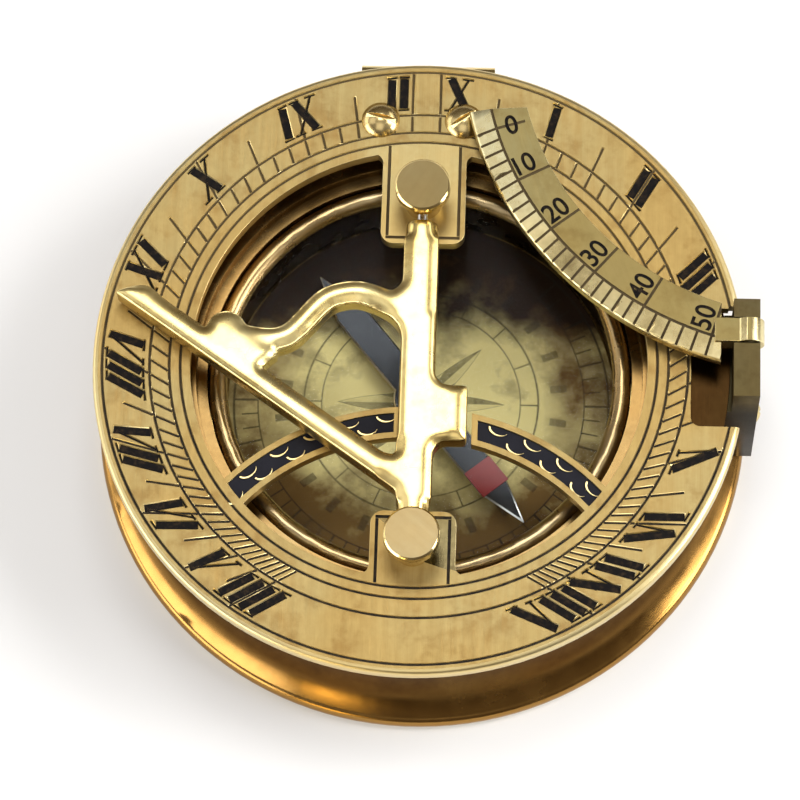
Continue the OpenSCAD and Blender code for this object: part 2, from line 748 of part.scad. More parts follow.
module gnomon() color(light_brass) {
    difference() {
        plates() {
            bar_shape();
            lug_shape();
            lug_fillet(-lug_y, 1);
            lug_fillet(-lug_y - lug_w, -1);
            style_shape();
            hump_shape();
            gusset_shape();
            strut_shape();
            strut_fillet_n();
            strut_fillet_s();
            style_fillet();
        }
        translate([0, bar_n_y + 1, gnomon_z]) rotate([90, 0, 0])
            cylinder(r = pivot_pin_r + hold_fit, h = pivot_pin_in + 1, $fn = 48);
        translate([0, bar_s_y - 1, gnomon_z]) rotate([-90, 0, 0])
            cylinder(r = pivot_pin_r + hold_fit, h = pivot_pin_in + 1, $fn = 48);
        turned_waste(tab_n_y - 2 * turned_gap, 1);
        turned_waste(-tab_s_y + 2 * turned_gap, -1);
    }
}

module gnomon_pivots() color(steel) {
    translate([0, bar_n_y - pivot_pin_in, gnomon_z]) rotate([-90, 0, 0])
        cylinder(r = pivot_pin_r, h = pivot_pin_in + bar_gap_n + pivot_pin_out, $fn = 48);
    translate([0, bar_s_y + pivot_pin_in, gnomon_z]) rotate([90, 0, 0])
        cylinder(r = pivot_pin_r, h = pivot_pin_in + bar_gap_s + pivot_pin_out, $fn = 48);
}

// Bracket on the side of the case, with two lugs for the arc's pin
module arc_bracket() color(brass) {
    difference() {
        union() {
            span([waist_r - 3, bracket_s_y, bracket_z], [bracket_x, bracket_n_y, case_h - e]);
            span([bracket_in_x, bracket_s_y, case_h - 2], [bracket_x, bracket_n_y, slot_z]);
            span([bracket_in_x, lug_n_y, slot_z - 1], [bracket_x, bracket_n_y, arc_z + lug_top]);
            span([bracket_in_x, bracket_s_y, slot_z - 1], [bracket_x, lug_s_y, arc_z + lug_top]);
        }
        rotate_extrude($fn = 180) case_outline(bracket_fit);
        translate([arc_pin_x, bracket_n_y + 1, arc_z]) rotate([90, 0, 0])
            cylinder(r = arc_pin_r + hold_fit, h = 1 + arc_pin_l + hold_fit, $fn = 48);
        bracket_screw_places() translate([0, 0, -12]) cylinder(r = small_screw_shank + hold_fit, h = 13);
    }
}

module bracket_screws() color(light_brass) {
    bracket_screw_places() screw(small_screw_r, small_screw_h, small_screw_shank, bracket_x - hollow_out_r);
}

module arc_pin() color(steel) {
    translate([arc_pin_x, bracket_n_y, arc_z]) rotate([90, 0, 0])
        cylinder(r = arc_pin_r, h = arc_pin_l, $fn = 48);
}

module latitude_arc() color(light_brass) {
    low = -arc_t / 2;
    top = arc_t / 2;
    difference() {
        union() {
            translate([arc_center_x, arc_center_y, arc_z]) rotate(180 + arc_tip_angle) difference() {
                rotate_extrude(angle = arc_root_angle - arc_tip_angle, $fn = 240)
                    polygon([[arc_in_r, low], [arc_out_r, low], [arc_out_r, low + arc_edge_t],
                             [arc_mid_r, top], [arc_in_r, top]]);
                translate([0, 0, low - 1]) linear_extrude(arc_t + 2)
                    polygon([[arc_out_r + 1, -1], [arc_out_r, 0], [arc_in_r - 1, tip_cut], [arc_in_r - 1, -1]]);
            }
            span([arc_root_x - 1, tongue_y - tongue_w / 2, arc_z - tongue_t / 2],
                 [arc_pin_x, tongue_y + tongue_w / 2, arc_z + tongue_t / 2]);
            translate([arc_pin_x, tongue_y + tongue_w / 2, arc_z]) rotate([90, 0, 0])
                cylinder(r = tongue_r, h = tongue_w);
        }
        // everything past the root, beside the tongue
        span([arc_root_x, -far, -far], [far, tongue_y - tongue_w / 2, far]);
        span([arc_root_x, tongue_y + tongue_w / 2, -far], [far, far, far]);
        translate([arc_pin_x, far / 2, arc_z]) rotate([90, 0, 0]) cylinder(r = arc_pin_r + run_fit, h = far, $fn = 48);
    }
}

case_body();
compass_card();
pivot_pin();
needle_blade();
needle_marker();
needle_cap();
glass();
glass_ring();
hour_ring();
bridge_enamel();
north_post();
south_post();
ring_screws();
hinge_leaf();
hinge_block();
block_screws();
hinge_pin();
gnomon();
gnomon_pivots();
arc_bracket();
bracket_screws();
arc_pin();
latitude_arc();
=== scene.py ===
"""Looks of the brass sundial compass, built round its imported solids.

Everything is in metres in the frame of the solids: the underside is at z = 0, +Y points to the noon hinge
and +X to the latitude arc's bracket. Sizes that the solids don't hold are given in millimetres times MM.
"""

import math

import bpy
from mathutils import Matrix, Vector
from mathutils.kdtree import KDTree


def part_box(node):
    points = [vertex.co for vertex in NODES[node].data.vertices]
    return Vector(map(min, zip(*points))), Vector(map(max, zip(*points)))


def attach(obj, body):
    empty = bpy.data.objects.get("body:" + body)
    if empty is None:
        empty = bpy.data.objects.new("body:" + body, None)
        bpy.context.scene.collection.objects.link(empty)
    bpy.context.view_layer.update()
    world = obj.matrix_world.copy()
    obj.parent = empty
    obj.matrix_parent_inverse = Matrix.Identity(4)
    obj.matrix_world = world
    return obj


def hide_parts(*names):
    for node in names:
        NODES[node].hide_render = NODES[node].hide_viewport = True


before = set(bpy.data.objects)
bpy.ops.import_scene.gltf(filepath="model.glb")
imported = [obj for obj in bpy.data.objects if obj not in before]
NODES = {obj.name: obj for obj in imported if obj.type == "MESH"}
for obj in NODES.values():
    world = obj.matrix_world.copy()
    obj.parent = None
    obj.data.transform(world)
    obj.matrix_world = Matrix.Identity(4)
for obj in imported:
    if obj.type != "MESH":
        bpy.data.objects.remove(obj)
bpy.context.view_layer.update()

MM = 0.001
FULL_TURN = 2 * math.pi

# Heights of the surfaces that carry the engraving and the print
ring_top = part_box("hour_ring")[1].z
card_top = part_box("compass_card")[1].z
enamel_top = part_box("bridge_enamel")[1].z

# The arc's flat top lies below its tongue's round end
ARC_AXIS = Vector((50.3 * MM, 4.3 * MM, 29.2 * MM))
ARC_THICK = 2.5 * MM
arc_top = ARC_AXIS.z + ARC_THICK / 2
ARC_CENTER = (59.8 * MM, 52.1 * MM)


# Small helpers for working as by hand

WELD = 0.002 * MM
UPWARD = 0.999    # a face looks straight up when its normal's Z is above this
LEVEL = 0.99995   # and it is a true flat above this


def only(obj):
    """Selects one object and makes it the active one."""
    bpy.ops.object.select_all(action="DESELECT")
    obj.select_set(True)
    bpy.context.view_layer.objects.active = obj


def new_piece(name, points, edges=(), faces=()):
    """A new object from points, edges and faces."""
    mesh = bpy.data.meshes.new(name)
    mesh.from_pydata(points, list(edges), list(faces))
    obj = bpy.data.objects.new(name, mesh)
    bpy.context.scene.collection.objects.link(obj)
    return obj


def settle(obj):
    """Applies an object's place, turn and scale to its mesh."""
    only(obj)
    bpy.ops.object.transform_apply(location=True, rotation=True, scale=True)
    return obj


def in_edit(obj, *steps):
    """Runs steps on the whole mesh in edit mode."""
    only(obj)
    bpy.ops.object.mode_set(mode="EDIT")
    bpy.ops.mesh.select_all(action="SELECT")
    for step in steps:
        step()
    bpy.ops.object.mode_set(mode="OBJECT")
    return obj


def tidy_faces():
    """Welds doubles and joins flat neighbours into one face."""
    bpy.ops.mesh.remove_doubles(threshold=WELD)
    bpy.ops.mesh.dissolve_limited(angle_limit=math.radians(0.4))


def face_outwards():
    bpy.ops.mesh.normals_make_consistent(inside=False)


def apply_modifier(obj, kind, **settings):
    """Adds a modifier, sets it and applies it."""
    modifier = obj.modifiers.new(kind.lower(), kind)
    for key, value in settings.items():
        setattr(modifier, key, value)
    only(obj)
    bpy.ops.object.modifier_apply(modifier=modifier.name)
    return obj


def cut(obj, tool, operation="DIFFERENCE"):
    """Cuts tool out of obj, or adds it, and removes the tool."""
    apply_modifier(obj, "BOOLEAN", object=tool, operation=operation, solver="MANIFOLD")
    bpy.data.objects.remove(tool)
    return obj


def smooth(obj, angle=32):
    """Smooth shading up to an angle, with flats that stay flat."""
    only(obj)
    bpy.ops.object.shade_smooth_by_angle(angle=math.radians(angle))
    crease_flats(obj)
    return obj


def copy_of(node, name=None):
    """A welded copy of a node's mesh, under a name of its own."""
    obj = bpy.data.objects.new(name or node + "_piece", NODES[node].data.copy())
    obj.data.materials.clear()
    bpy.context.scene.collection.objects.link(obj)
    return in_edit(obj, tidy_faces)


def soften(obj, width, segments=3, angle=35):
    """Rounds the sharp edges."""
    apply_modifier(obj, "BEVEL", width=width, segments=segments, limit_method="ANGLE",
                   angle_limit=math.radians(angle), use_clamp_overlap=True)
    return obj


def join(name, objs):
    """Joins several pieces into one."""
    bpy.ops.object.select_all(action="DESELECT")
    for o in objs:
        o.select_set(True)
    bpy.context.view_layer.objects.active = objs[0]
    if len(objs) > 1:
        bpy.ops.object.join()
    objs[0].name = name
    objs[0].data.name = name
    return objs[0]


def turned(name, profile, steps=192):
    """A turned piece: the closed profile of (radius, height), spun round Z."""
    n = len(profile)
    obj = new_piece(name, [(r, 0, z) for r, z in profile], [(i, (i + 1) % n) for i in range(n)])
    return in_edit(obj,
                   lambda: bpy.ops.mesh.spin(steps=steps, angle=FULL_TURN, center=(0, 0, 0), axis=(0, 0, 1)),
                   lambda: bpy.ops.mesh.remove_doubles(threshold=0.001 * MM),
                   face_outwards)


def plate(name, outline, low, high):
    """A flat outline extruded from low to high."""
    obj = new_piece(name, [(x, y, low) for x, y in outline], faces=[range(len(outline))])
    rise = {"value": (0, 0, high - low)}
    return in_edit(obj,
                   lambda: bpy.ops.mesh.extrude_region_move(TRANSFORM_OT_translate=rise),
                   face_outwards)


def dress(obj, body, replaces=()):
    """Puts a piece on its body and the nodes that it stands for."""
    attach(obj, body)
    if replaces:
        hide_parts(*([replaces] if isinstance(replaces, str) else replaces))
    return obj


# Materials: formulas on sockets add their own nodes

class Value:
    """A socket that takes part in sums."""

    def __init__(self, finish, socket):
        self.finish = finish
        self.socket = socket

    def math(self, operation, *others, **settings):
        node = self.finish.add("ShaderNodeMath", dict(settings, operation=operation),
                               dict(enumerate((self, *others))))
        return Value(self.finish, node.outputs[0])

    def __add__(self, other):
        return self.math("ADD", other)

    def __sub__(self, other):
        return self.math("SUBTRACT", other)

    def __mul__(self, other):
        return self.math("MULTIPLY", other)

    def __truediv__(self, other):
        return self.math("DIVIDE", other)

    def __rsub__(self, other):
        return (self * -1) + other

    __radd__ = __add__
    __rmul__ = __mul__

    def clamped(self):
        return self.math("ADD", 0.0, use_clamp=True)

    def between(self, low, high):
        """0 at low, 1 at high, smooth and held outside."""
        node = self.finish.add("ShaderNodeMapRange", {"interpolation_type": "SMOOTHSTEP"},
                               {"Value": self, "From Min": low, "From Max": high})
        return Value(self.finish, node.outputs[0])


class Finish:
    """One material and its nodes."""

    def __init__(self, name):
        self.material = bpy.data.materials.new(name)
        self.material.use_nodes = True
        self.tree = self.material.node_tree
        self.tree.nodes.clear()
        self.out = self.tree.nodes.new("ShaderNodeOutputMaterial")

    def add(self, kind, settings=None, inputs=None):
        """Any node: its settings first, then the values or links of its sockets."""
        node = self.tree.nodes.new(kind)
        for key, value in (settings or {}).items():
            setattr(node, key, value)
        for key, value in (inputs or {}).items():
            if isinstance(value, Value):
                value = value.socket
            if isinstance(value, bpy.types.NodeSocket):
                self.tree.links.new(value, node.inputs[key])
            else:
                node.inputs[key].default_value = value
        return node

    def place(self, stretch=(1, 1, 1), turn=0.0):
        """Object coordinates, turned about Z by turn degrees and then stretched."""
        coords = self.add("ShaderNodeTexCoord")
        turned_to = self.add("ShaderNodeMapping", None,
                             {"Vector": coords.outputs["Object"], "Rotation": (0, 0, math.radians(turn))})
        stretched = self.add("ShaderNodeMapping", None, {"Vector": turned_to.outputs[0], "Scale": stretch})
        return stretched.outputs[0]

    def noise(self, scale, detail=3, roughness=0.5, **placing):
        inputs = {"Vector": self.place(**placing), "Scale": scale, "Detail": detail, "Roughness": roughness}
        return Value(self, self.add("ShaderNodeTexNoise", None, inputs).outputs[0])

    def mix(self, share, a, b):
        """A colour between a and b."""
        node = self.add("ShaderNodeMix", {"data_type": "RGBA"}, {0: share, 6: a, 7: b})
        return node.outputs[2]

    def bump(self, height, distance, strength=1.0):
        inputs = {"Height": height, "Distance": distance, "Strength": strength}
        return self.add("ShaderNodeBump", None, inputs).outputs[0]

    def surface(self, **inputs):
        """The shader itself, with its sockets by name, underscores for spaces."""
        named = {key.replace("_", " "): value for key, value in inputs.items()}
        shader = self.add("ShaderNodeBsdfPrincipled", None, named)
        self.tree.links.new(shader.outputs[0], self.out.inputs[0])
        return self.material


def brass(name, light, dark, rough=0.25, grain=0.5, grain_turn=0.0, patch=0.5, scratch=0.02,
          stain=0.0, low=None):
    """Brass with straight brushing along Y, turned by grain_turn degrees, and soft tarnished patches.

    Stain is the share of brown that small stains take on. Low is (colour, lowest z, highest z, wander), in
    mm: the colour below a height that wanders.
    """
    f = Finish(name)
    fine = f.noise(1.0, 3, 0.6, stretch=(5200, 170, 900), turn=grain_turn)
    broad = f.noise(1.0, 2, 0.5, stretch=(1100, 60, 300), turn=grain_turn)
    cloud = f.noise(120.0, 4, 0.6)
    hue = f.noise(38.0, 3, 0.5)
    spots = f.noise(900.0, 2, 0.5)
    tone = ((fine - 0.5) * (0.9 * grain) + (broad - 0.5) * (0.8 * grain) + (cloud - 0.5) * (1.8 * patch)
            + (spots - 0.5) * (0.5 * patch) + 0.5).clamped()
    shine = ((fine - 0.5) * (0.35 * grain) + (cloud - 0.5) * (0.35 * patch) + rough).clamped()
    pale = tuple(c * k for c, k in zip(light, (0.97, 1.10, 1.35)))
    top = f.mix(hue.between(0.38, 0.62), (*light, 1), (*pale, 1))
    colour = f.mix(tone, (*dark, 1), top)
    if stain:
        brown = tuple(c * k for c, k in zip(dark, (0.72, 0.58, 0.42)))
        marks = f.noise(210.0, 5, 0.62).between(0.47, 0.70) * stain
        colour = f.mix(marks, colour, (*brown, 1))
    # The low colour paints shade below a height on the bracket, and paints light below a height on the flank
    if low:
        split = f.add("ShaderNodeSeparateXYZ", None, {0: f.place()})
        height = Value(f, split.outputs[2]) / MM + (cloud - 0.5) * low[3]
        colour = f.mix(height.between(low[1], low[2]), (*low[0], 1), colour)
    return f.surface(Base_Color=colour, Metallic=1.0, Roughness=shine,
                     Normal=f.bump(fine + broad * 0.5, scratch * MM, 0.6))


RING_BRASS = brass("ring_brass", (0.51, 0.36, 0.13), (0.32, 0.21, 0.071), rough=0.50, grain=0.8, patch=0.7,
                   scratch=0.03, stain=0.5)
EDGE_BRASS = brass("edge_brass", (0.80, 0.62, 0.29), (0.62, 0.46, 0.18), rough=0.34, grain=0.02, patch=0.3,
                   scratch=0.001)
TAB_BRASS = brass("tab_brass", (0.46, 0.34, 0.135), (0.30, 0.205, 0.07), rough=0.42, grain=0.4, patch=0.7)
# Painted shade: the south tab's plate is made near black for the shadow and dark reflection of the south post
# on it
SOUTH_TAB_PAINTED_SHADE = brass("south_tab_painted_shade", (0.12, 0.085, 0.032), (0.018, 0.011, 0.004), rough=0.20, grain=0.3,
                        patch=2.2)
ARC_BRASS = brass("arc_brass", (0.29, 0.222, 0.085), (0.19, 0.14, 0.047), rough=0.46, grain=0.5,
                  grain_turn=-20, stain=0.4)
# Painted highlight: the arc's slope, sides and line walls take a much paler, glossier copy of the arc's brass,
# for the light that the slope catches
LADDER_PAINTED_HIGHLIGHT = brass("ladder_painted_highlight", (0.84, 0.70, 0.36), (0.50, 0.39, 0.17), rough=0.26, grain=0.1, patch=1.3,
                     scratch=0.004)
CAST_BRASS = brass("cast_brass", (0.94, 0.765, 0.345), (0.62, 0.44, 0.14), rough=0.28, grain=0.04, patch=0.8,
                   scratch=0.003, stain=0.35)
# Painted shade: the north post's faced top is a darker copy of the south post's finish
NORTH_POST_PAINTED_SHADE = brass("north_post_painted_shade", (0.275, 0.205, 0.088), (0.20, 0.14, 0.055), rough=0.50, grain=0.5,
                    grain_turn=30)
SOUTH_BRASS = brass("south_post_brass", (0.50, 0.375, 0.18), (0.37, 0.26, 0.11), rough=0.50, grain=0.5,
                    grain_turn=-50)
TURNED_BRASS = brass("turned_brass", (0.84, 0.66, 0.30), (0.68, 0.49, 0.18), rough=0.17, grain=0.04,
                     patch=0.3, scratch=0.003)
BEZEL_BRASS = brass("bezel_brass", (0.50, 0.36, 0.17), (0.26, 0.17, 0.075), rough=0.27, grain=0.0, patch=0.5,
                    scratch=0.0005)
SCREW_BRASS = brass("screw_brass", (0.72, 0.53, 0.21), (0.46, 0.29, 0.10), rough=0.23, grain=0.1, patch=0.5,
                    scratch=0.004)
# Painted shade: the bracket is made very dark, and near black below a wandering height, for the shade on its
# south face
BRACKET_PAINTED_SHADE = brass("bracket_painted_shade", (0.12, 0.09, 0.036), (0.06, 0.042, 0.016), rough=0.42, grain=0.4,
                      patch=0.9, stain=0.5, low=((0.020, 0.016, 0.008), 22, 29, 6))
CASE_BRASS = brass("case_brass", (0.64, 0.46, 0.17), (0.36, 0.23, 0.07), rough=0.16, grain=0.02, patch=0.5,
                   scratch=0.004)
# Painted shade and light: the flank is made dark for the shade under the ring, with a lighter band near the
# foot as painted light
FLANK_PAINTED_SHADE = brass("flank_painted_shade_and_light", (0.13, 0.060, 0.012), (0.055, 0.023, 0.005), rough=0.22, grain=0.02,
                    patch=1.0, scratch=0.001, low=((0.37, 0.20, 0.052), 3.2, 6.4, 1.2))
# Painted shade: the ledge in the well under the ring is made dark brown
LEDGE_PAINTED_SHADE = brass("ledge_painted_shade", (0.26, 0.16, 0.055), (0.09, 0.05, 0.015), rough=0.24, grain=0.0, patch=0.9,
                    scratch=0.002)
# Painted shade: the case's top rim, seen through the notch under the ring, is made near black
RIM_PAINTED_SHADE = brass("rim_painted_shade", (0.050, 0.024, 0.006), (0.022, 0.010, 0.003), rough=0.34, grain=0.02,
                   patch=1.0)
# Painted shade: the bowl under the ring and glass is made dark
BOWL_PAINTED_SHADE = brass("bowl_painted_shade", (0.26, 0.16, 0.05), (0.06, 0.035, 0.014), rough=0.28, grain=0.02,
                    patch=1.0)


def steel(name, tone, rough):
    """Ground steel, its fine marks at 40 degrees to Y."""
    f = Finish(name)
    cloud = f.noise(300.0, 3, 0.5)
    fine = f.noise(1.0, 2, 0.5, stretch=(4000, 300, 1000), turn=-40)
    share = ((cloud - 0.5) * 0.8 + (fine - 0.5) * 0.6 + 0.5).clamped()
    low = tuple(0.82 * c for c in tone)
    return f.surface(Base_Color=f.mix(share, (*low, 1), (*tone, 1)), Metallic=1.0,
                     Roughness=(fine - 0.5) * 0.15 + rough, Normal=f.bump(fine, 0.01 * MM, 0.5))


STEEL = steel("turned_steel", (0.62, 0.60, 0.56), 0.28)
NEEDLE_STEEL = steel("needle_steel", (0.062, 0.065, 0.075), 0.42)
NEEDLE_EDGE = steel("needle_edge", (0.86, 0.88, 0.90), 0.34)


def engraving_black():
    """Black wax in the engraved lines, a little worn."""
    f = Finish("engraving_black")
    worn = f.noise(1500.0, 3, 0.6)
    share = worn.between(0.45, 0.75)
    return f.surface(Base_Color=f.mix(share, (0.008, 0.007, 0.007, 1), (0.035, 0.024, 0.015, 1)),
                     Roughness=share * 0.2 + 0.6, Specular_IOR_Level=0.06,
                     Normal=f.bump(worn, 0.03 * MM, 0.5))


def line_black():
    """The thin lines, where less wax is left and some brass shows through."""
    f = Finish("line_black")
    worn = f.noise(700.0, 3, 0.6)
    split = f.add("ShaderNodeSeparateXYZ", None, {0: f.place()})
    noon = Value(f, split.outputs[1]).between(-20 * MM, 25 * MM)
    share = (worn.between(0.35, 0.75) * 0.5 + noon * 0.9).clamped()
    return f.surface(Base_Color=f.mix(share, (0.012, 0.009, 0.007, 1), (0.085, 0.058, 0.024, 1)),
                     Roughness=0.6, Specular_IOR_Level=0.15)


def enamel_black():
    """The bridge's black inlay, slightly pitted."""
    f = Finish("enamel_black")
    grain = f.noise(2500.0, 3, 0.6)
    cloud = f.noise(400.0, 3, 0.5)
    return f.surface(Base_Color=f.mix(cloud, (0.008, 0.008, 0.012, 1), (0.022, 0.022, 0.03, 1)),
                     Roughness=cloud * 0.2 + 0.45, Specular_IOR_Level=0.1,
                     Normal=f.bump(grain, 0.05 * MM, 0.6))


def red_paint():
    """The painted end of the needle."""
    f = Finish("red_paint")
    cloud = f.noise(500.0, 3, 0.5)
    return f.surface(Base_Color=f.mix(cloud, (0.20, 0.008, 0.012, 1), (0.34, 0.015, 0.02, 1)), Roughness=0.35,
                     Normal=f.bump(cloud, 0.03 * MM, 0.4))


ENGRAVING = engraving_black()
LINES = line_black()
ENAMEL = enamel_black()
RED = red_paint()


# Engraving tools: prisms with slanted walls that are cut out of a surface. A tool has the same material slots
# as the piece, so that the cut takes the floor's and the walls' materials from it

LIFT = 0.2 * MM   # how far a tool stands out above the surface

# The material slots of the ring and the arc: the first four are on both
PLAIN, LINE, WAX, EDGE, NORTH_TAB, SOUTH_TAB = range(6)


def set_slots(obj, materials):
    for material in materials:
        obj.data.materials.append(material)


def bar_tool(name, bars, depth, lean, wall, floor):
    """One mesh of straight bars. A bar is its two ends at the surface and its width.

    The walls lean in by lean. Wall and floor are material slots.
    """
    points, faces = [], []
    grow_up = LIFT * lean / depth
    for a, b, width in bars:
        a, b = Vector(a), Vector(b)
        d = (b - a).normalized()
        side = Vector((-d.y, d.x, 0)).normalized()
        start = len(points)
        for rise, grow in ((-depth, -lean), (LIFT, grow_up)):
            for end, along, across in ((a, -1, -1), (b, 1, -1), (b, 1, 1), (a, -1, 1)):
                corner = end + d * along * grow + side * across * (width / 2 + grow)
                points.append(corner + Vector((0, 0, rise)))
        corners = ((3, 2, 1, 0), (4, 5, 6, 7), (0, 1, 5, 4), (1, 2, 6, 5), (2, 3, 7, 6), (3, 0, 4, 7))
        faces += [tuple(start + i for i in face) for face in corners]
    obj = new_piece(name, points, faces=faces)
    for face in obj.data.polygons:
        face.material_index = floor if face.index % 6 == 0 else wall
    return obj


def circle_tool(name, radii, width, top, depth, lean, wall, floor, center=(0, 0)):
    """Round grooves of one width at several radii."""
    rings = []
    grow_up = LIFT * lean / depth
    for r in radii:
        w = width / 2
        profile = [(r - w + lean, top - depth), (r + w - lean, top - depth),
                   (r + w + grow_up, top + LIFT), (r - w - grow_up, top + LIFT)]
        rings.append(turned(f"{name}_{r:.4f}", profile, 256))
    obj = join(name, rings)
    for face in obj.data.polygons:
        face.material_index = floor if face.normal.z < -0.9 else wall
    obj.location = (*center, 0)
    return settle(obj)


def engrave(obj, tool):
    """Cuts a tool, with its material slots, out of a piece."""
    set_slots(tool, obj.data.materials)
    return cut(obj, tool)


def crease_flats(obj):
    """Sharp edges round every flat that faces straight up, so that its shading stays flat."""
    flat = {}
    for face in obj.data.polygons:
        for key in face.edge_keys:
            flat.setdefault(key, []).append(face.normal.z > LEVEL)
    for edge in obj.data.edges:
        sides = flat.get(edge.key, [])
        if True in sides and False in sides:
            edge.use_edge_sharp = True


# Camera: a long lens from high in the south, a little to the right and rolled
CAMERA_AIM = Vector((-2.63, -6.48, 26)) * MM
CAMERA_AZIMUTH, CAMERA_ELEVATION, CAMERA_ROLL = 5.6, 69.346, -4.04
CAMERA_DISTANCE = 0.640
CAMERA_LENS, SENSOR = 189.0, 36.0


def add_camera():
    a, e, r = (math.radians(v) for v in (CAMERA_AZIMUTH, CAMERA_ELEVATION, CAMERA_ROLL))
    back = Vector((math.sin(a) * math.cos(e), -math.cos(a) * math.cos(e), math.sin(e)))
    right = Vector((math.cos(a), math.sin(a), 0))
    up = back.cross(right)
    right, up = right * math.cos(r) + up * math.sin(r), up * math.cos(r) - right * math.sin(r)
    data = bpy.data.cameras.new("camera")
    data.lens = CAMERA_LENS
    data.sensor_width = SENSOR
    data.clip_start, data.clip_end = 0.05, 20
    camera = bpy.data.objects.new("camera", data)
    bpy.context.scene.collection.objects.link(camera)
    turn = Matrix((right, up, back)).transposed().to_4x4()
    camera.matrix_world = Matrix.Translation(CAMERA_AIM + back * CAMERA_DISTANCE) @ turn
    bpy.context.scene.camera = camera


add_camera()
bpy.context.scene.view_settings.view_transform = "Standard"


# Light and floor

def add_softbox(name, at, aim, size, power, colour=(1, 1, 1)):
    data = bpy.data.lights.new(name, "AREA")
    data.shape = "RECTANGLE"
    data.size, data.size_y = size
    data.energy = power
    data.color = colour
    lamp = bpy.data.objects.new(name, data)
    bpy.context.scene.collection.objects.link(lamp)
    lamp.location = at
    lamp.rotation_euler = (Vector(aim) - Vector(at)).to_track_quat("-Z", "Y").to_euler()


LAMP_DISTANCE = 0.9
LAMP_AIM = (0, 0, 0.02)


def softbox_at(name, azimuth, elevation, size, level, colour=(1, 1, 1)):
    """A softbox in a direction from the object: azimuth 0 is +Y, 90 is +X. Level is its own brightness."""
    a, e = math.radians(azimuth), math.radians(elevation)
    at = Vector((math.sin(a) * math.cos(e), math.cos(a) * math.cos(e), math.sin(e))) * LAMP_DISTANCE
    add_softbox(name, at, LAMP_AIM, size, level * size[0] * size[1] * math.pi, colour)


softbox_at("noon_softbox", -6, 72, (0.32, 0.32), 6.0)
softbox_at("west_softbox", -80, 48, (0.5, 0.5), 1.0)
softbox_at("east_softbox", 80, 46, (0.36, 0.36), 9.5)
softbox_at("south_softbox", -168, 62, (0.55, 0.55), 1.0)
softbox_at("west_window", -70, 14, (0.5, 0.36), 2.2)
softbox_at("east_window", 100, 22, (0.40, 0.26), 13.0)
softbox_at("south_west_strip", -118, 15, (0.92, 0.34), 4.8)
softbox_at("north_east_strip", 50, 28, (0.4, 0.2), 2.8)
softbox_at("warm_lamp", -158, 11, (0.18, 0.22), 4.4, (1.0, 0.80, 0.36))


def light_path(tree):
    """1 for camera, glossy and transmission rays."""
    path = tree.nodes.new("ShaderNodeLightPath")
    total = path.outputs["Is Camera Ray"]
    for other in ("Is Glossy Ray", "Is Transmission Ray"):
        node = tree.nodes.new("ShaderNodeMath")
        node.operation = "MAXIMUM"
        tree.links.new(total, node.inputs[0])
        tree.links.new(path.outputs[other], node.inputs[1])
        total = node.outputs[0]
    return path, total


def set_world():
    """White for the camera. For all other rays a dim room, brown near the horizon and grey overhead."""
    world = bpy.data.worlds.new("studio")
    bpy.context.scene.world = world
    world.use_nodes = True
    tree = world.node_tree
    tree.nodes.clear()
    out = tree.nodes.new("ShaderNodeOutputWorld")
    coords = tree.nodes.new("ShaderNodeTexCoord")
    split = tree.nodes.new("ShaderNodeSeparateXYZ")
    ramp = tree.nodes.new("ShaderNodeValToRGB")
    ramp.color_ramp.elements[0].position = 0.0
    ramp.color_ramp.elements[0].color = (0.10, 0.07, 0.045, 1)
    ramp.color_ramp.elements[1].position = 0.9
    ramp.color_ramp.elements[1].color = (0.38, 0.36, 0.34, 1)
    middle = ramp.color_ramp.elements.new(0.5)
    middle.color = (0.17, 0.15, 0.13, 1)
    room = tree.nodes.new("ShaderNodeBackground")
    white = tree.nodes.new("ShaderNodeBackground")
    mix = tree.nodes.new("ShaderNodeMixShader")
    path = tree.nodes.new("ShaderNodeLightPath")
    link = tree.links.new
    link(coords.outputs["Generated"], split.inputs[0])
    link(split.outputs["Z"], ramp.inputs[0])
    link(ramp.outputs[0], room.inputs[0])
    link(path.outputs["Is Camera Ray"], mix.inputs[0])
    link(room.outputs[0], mix.inputs[1])
    link(white.outputs[0], mix.inputs[2])
    white.inputs[0].default_value = (1, 1, 1, 1)
    link(mix.outputs[0], out.inputs[0])


set_world()

FLOOR_SIZE = 6.0


def add_floor():
    bpy.ops.object.select_all(action="DESELECT")
    bpy.ops.mesh.primitive_plane_add(size=FLOOR_SIZE, location=(0, 0, 0))
    floor = bpy.context.object
    floor.name = "floor"
    material = bpy.data.materials.new("white_table")
    material.use_nodes = True
    tree = material.node_tree
    tree.nodes.clear()
    out = tree.nodes.new("ShaderNodeOutputMaterial")
    plain = tree.nodes.new("ShaderNodeBsdfDiffuse")
    plain.inputs[0].default_value = (0.70, 0.70, 0.70, 1)
    shown = tree.nodes.new("ShaderNodeBsdfDiffuse")
    shown.inputs[0].default_value = (0.86, 0.86, 0.86, 1)
    glow = tree.nodes.new("ShaderNodeEmission")
    glow.inputs[0].default_value = (1, 1, 1, 1)
    glow.inputs[1].default_value = 0.06
    both = tree.nodes.new("ShaderNodeAddShader")
    mix = tree.nodes.new("ShaderNodeMixShader")
    path, seen = light_path(tree)
    link = tree.links.new
    link(shown.outputs[0], both.inputs[0])
    link(glow.outputs[0], both.inputs[1])
    link(seen, mix.inputs[0])
    link(plain.outputs[0], mix.inputs[1])
    link(both.outputs[0], mix.inputs[2])
    link(mix.outputs[0], out.inputs[0])
    floor.data.materials.append(material)


add_floor()


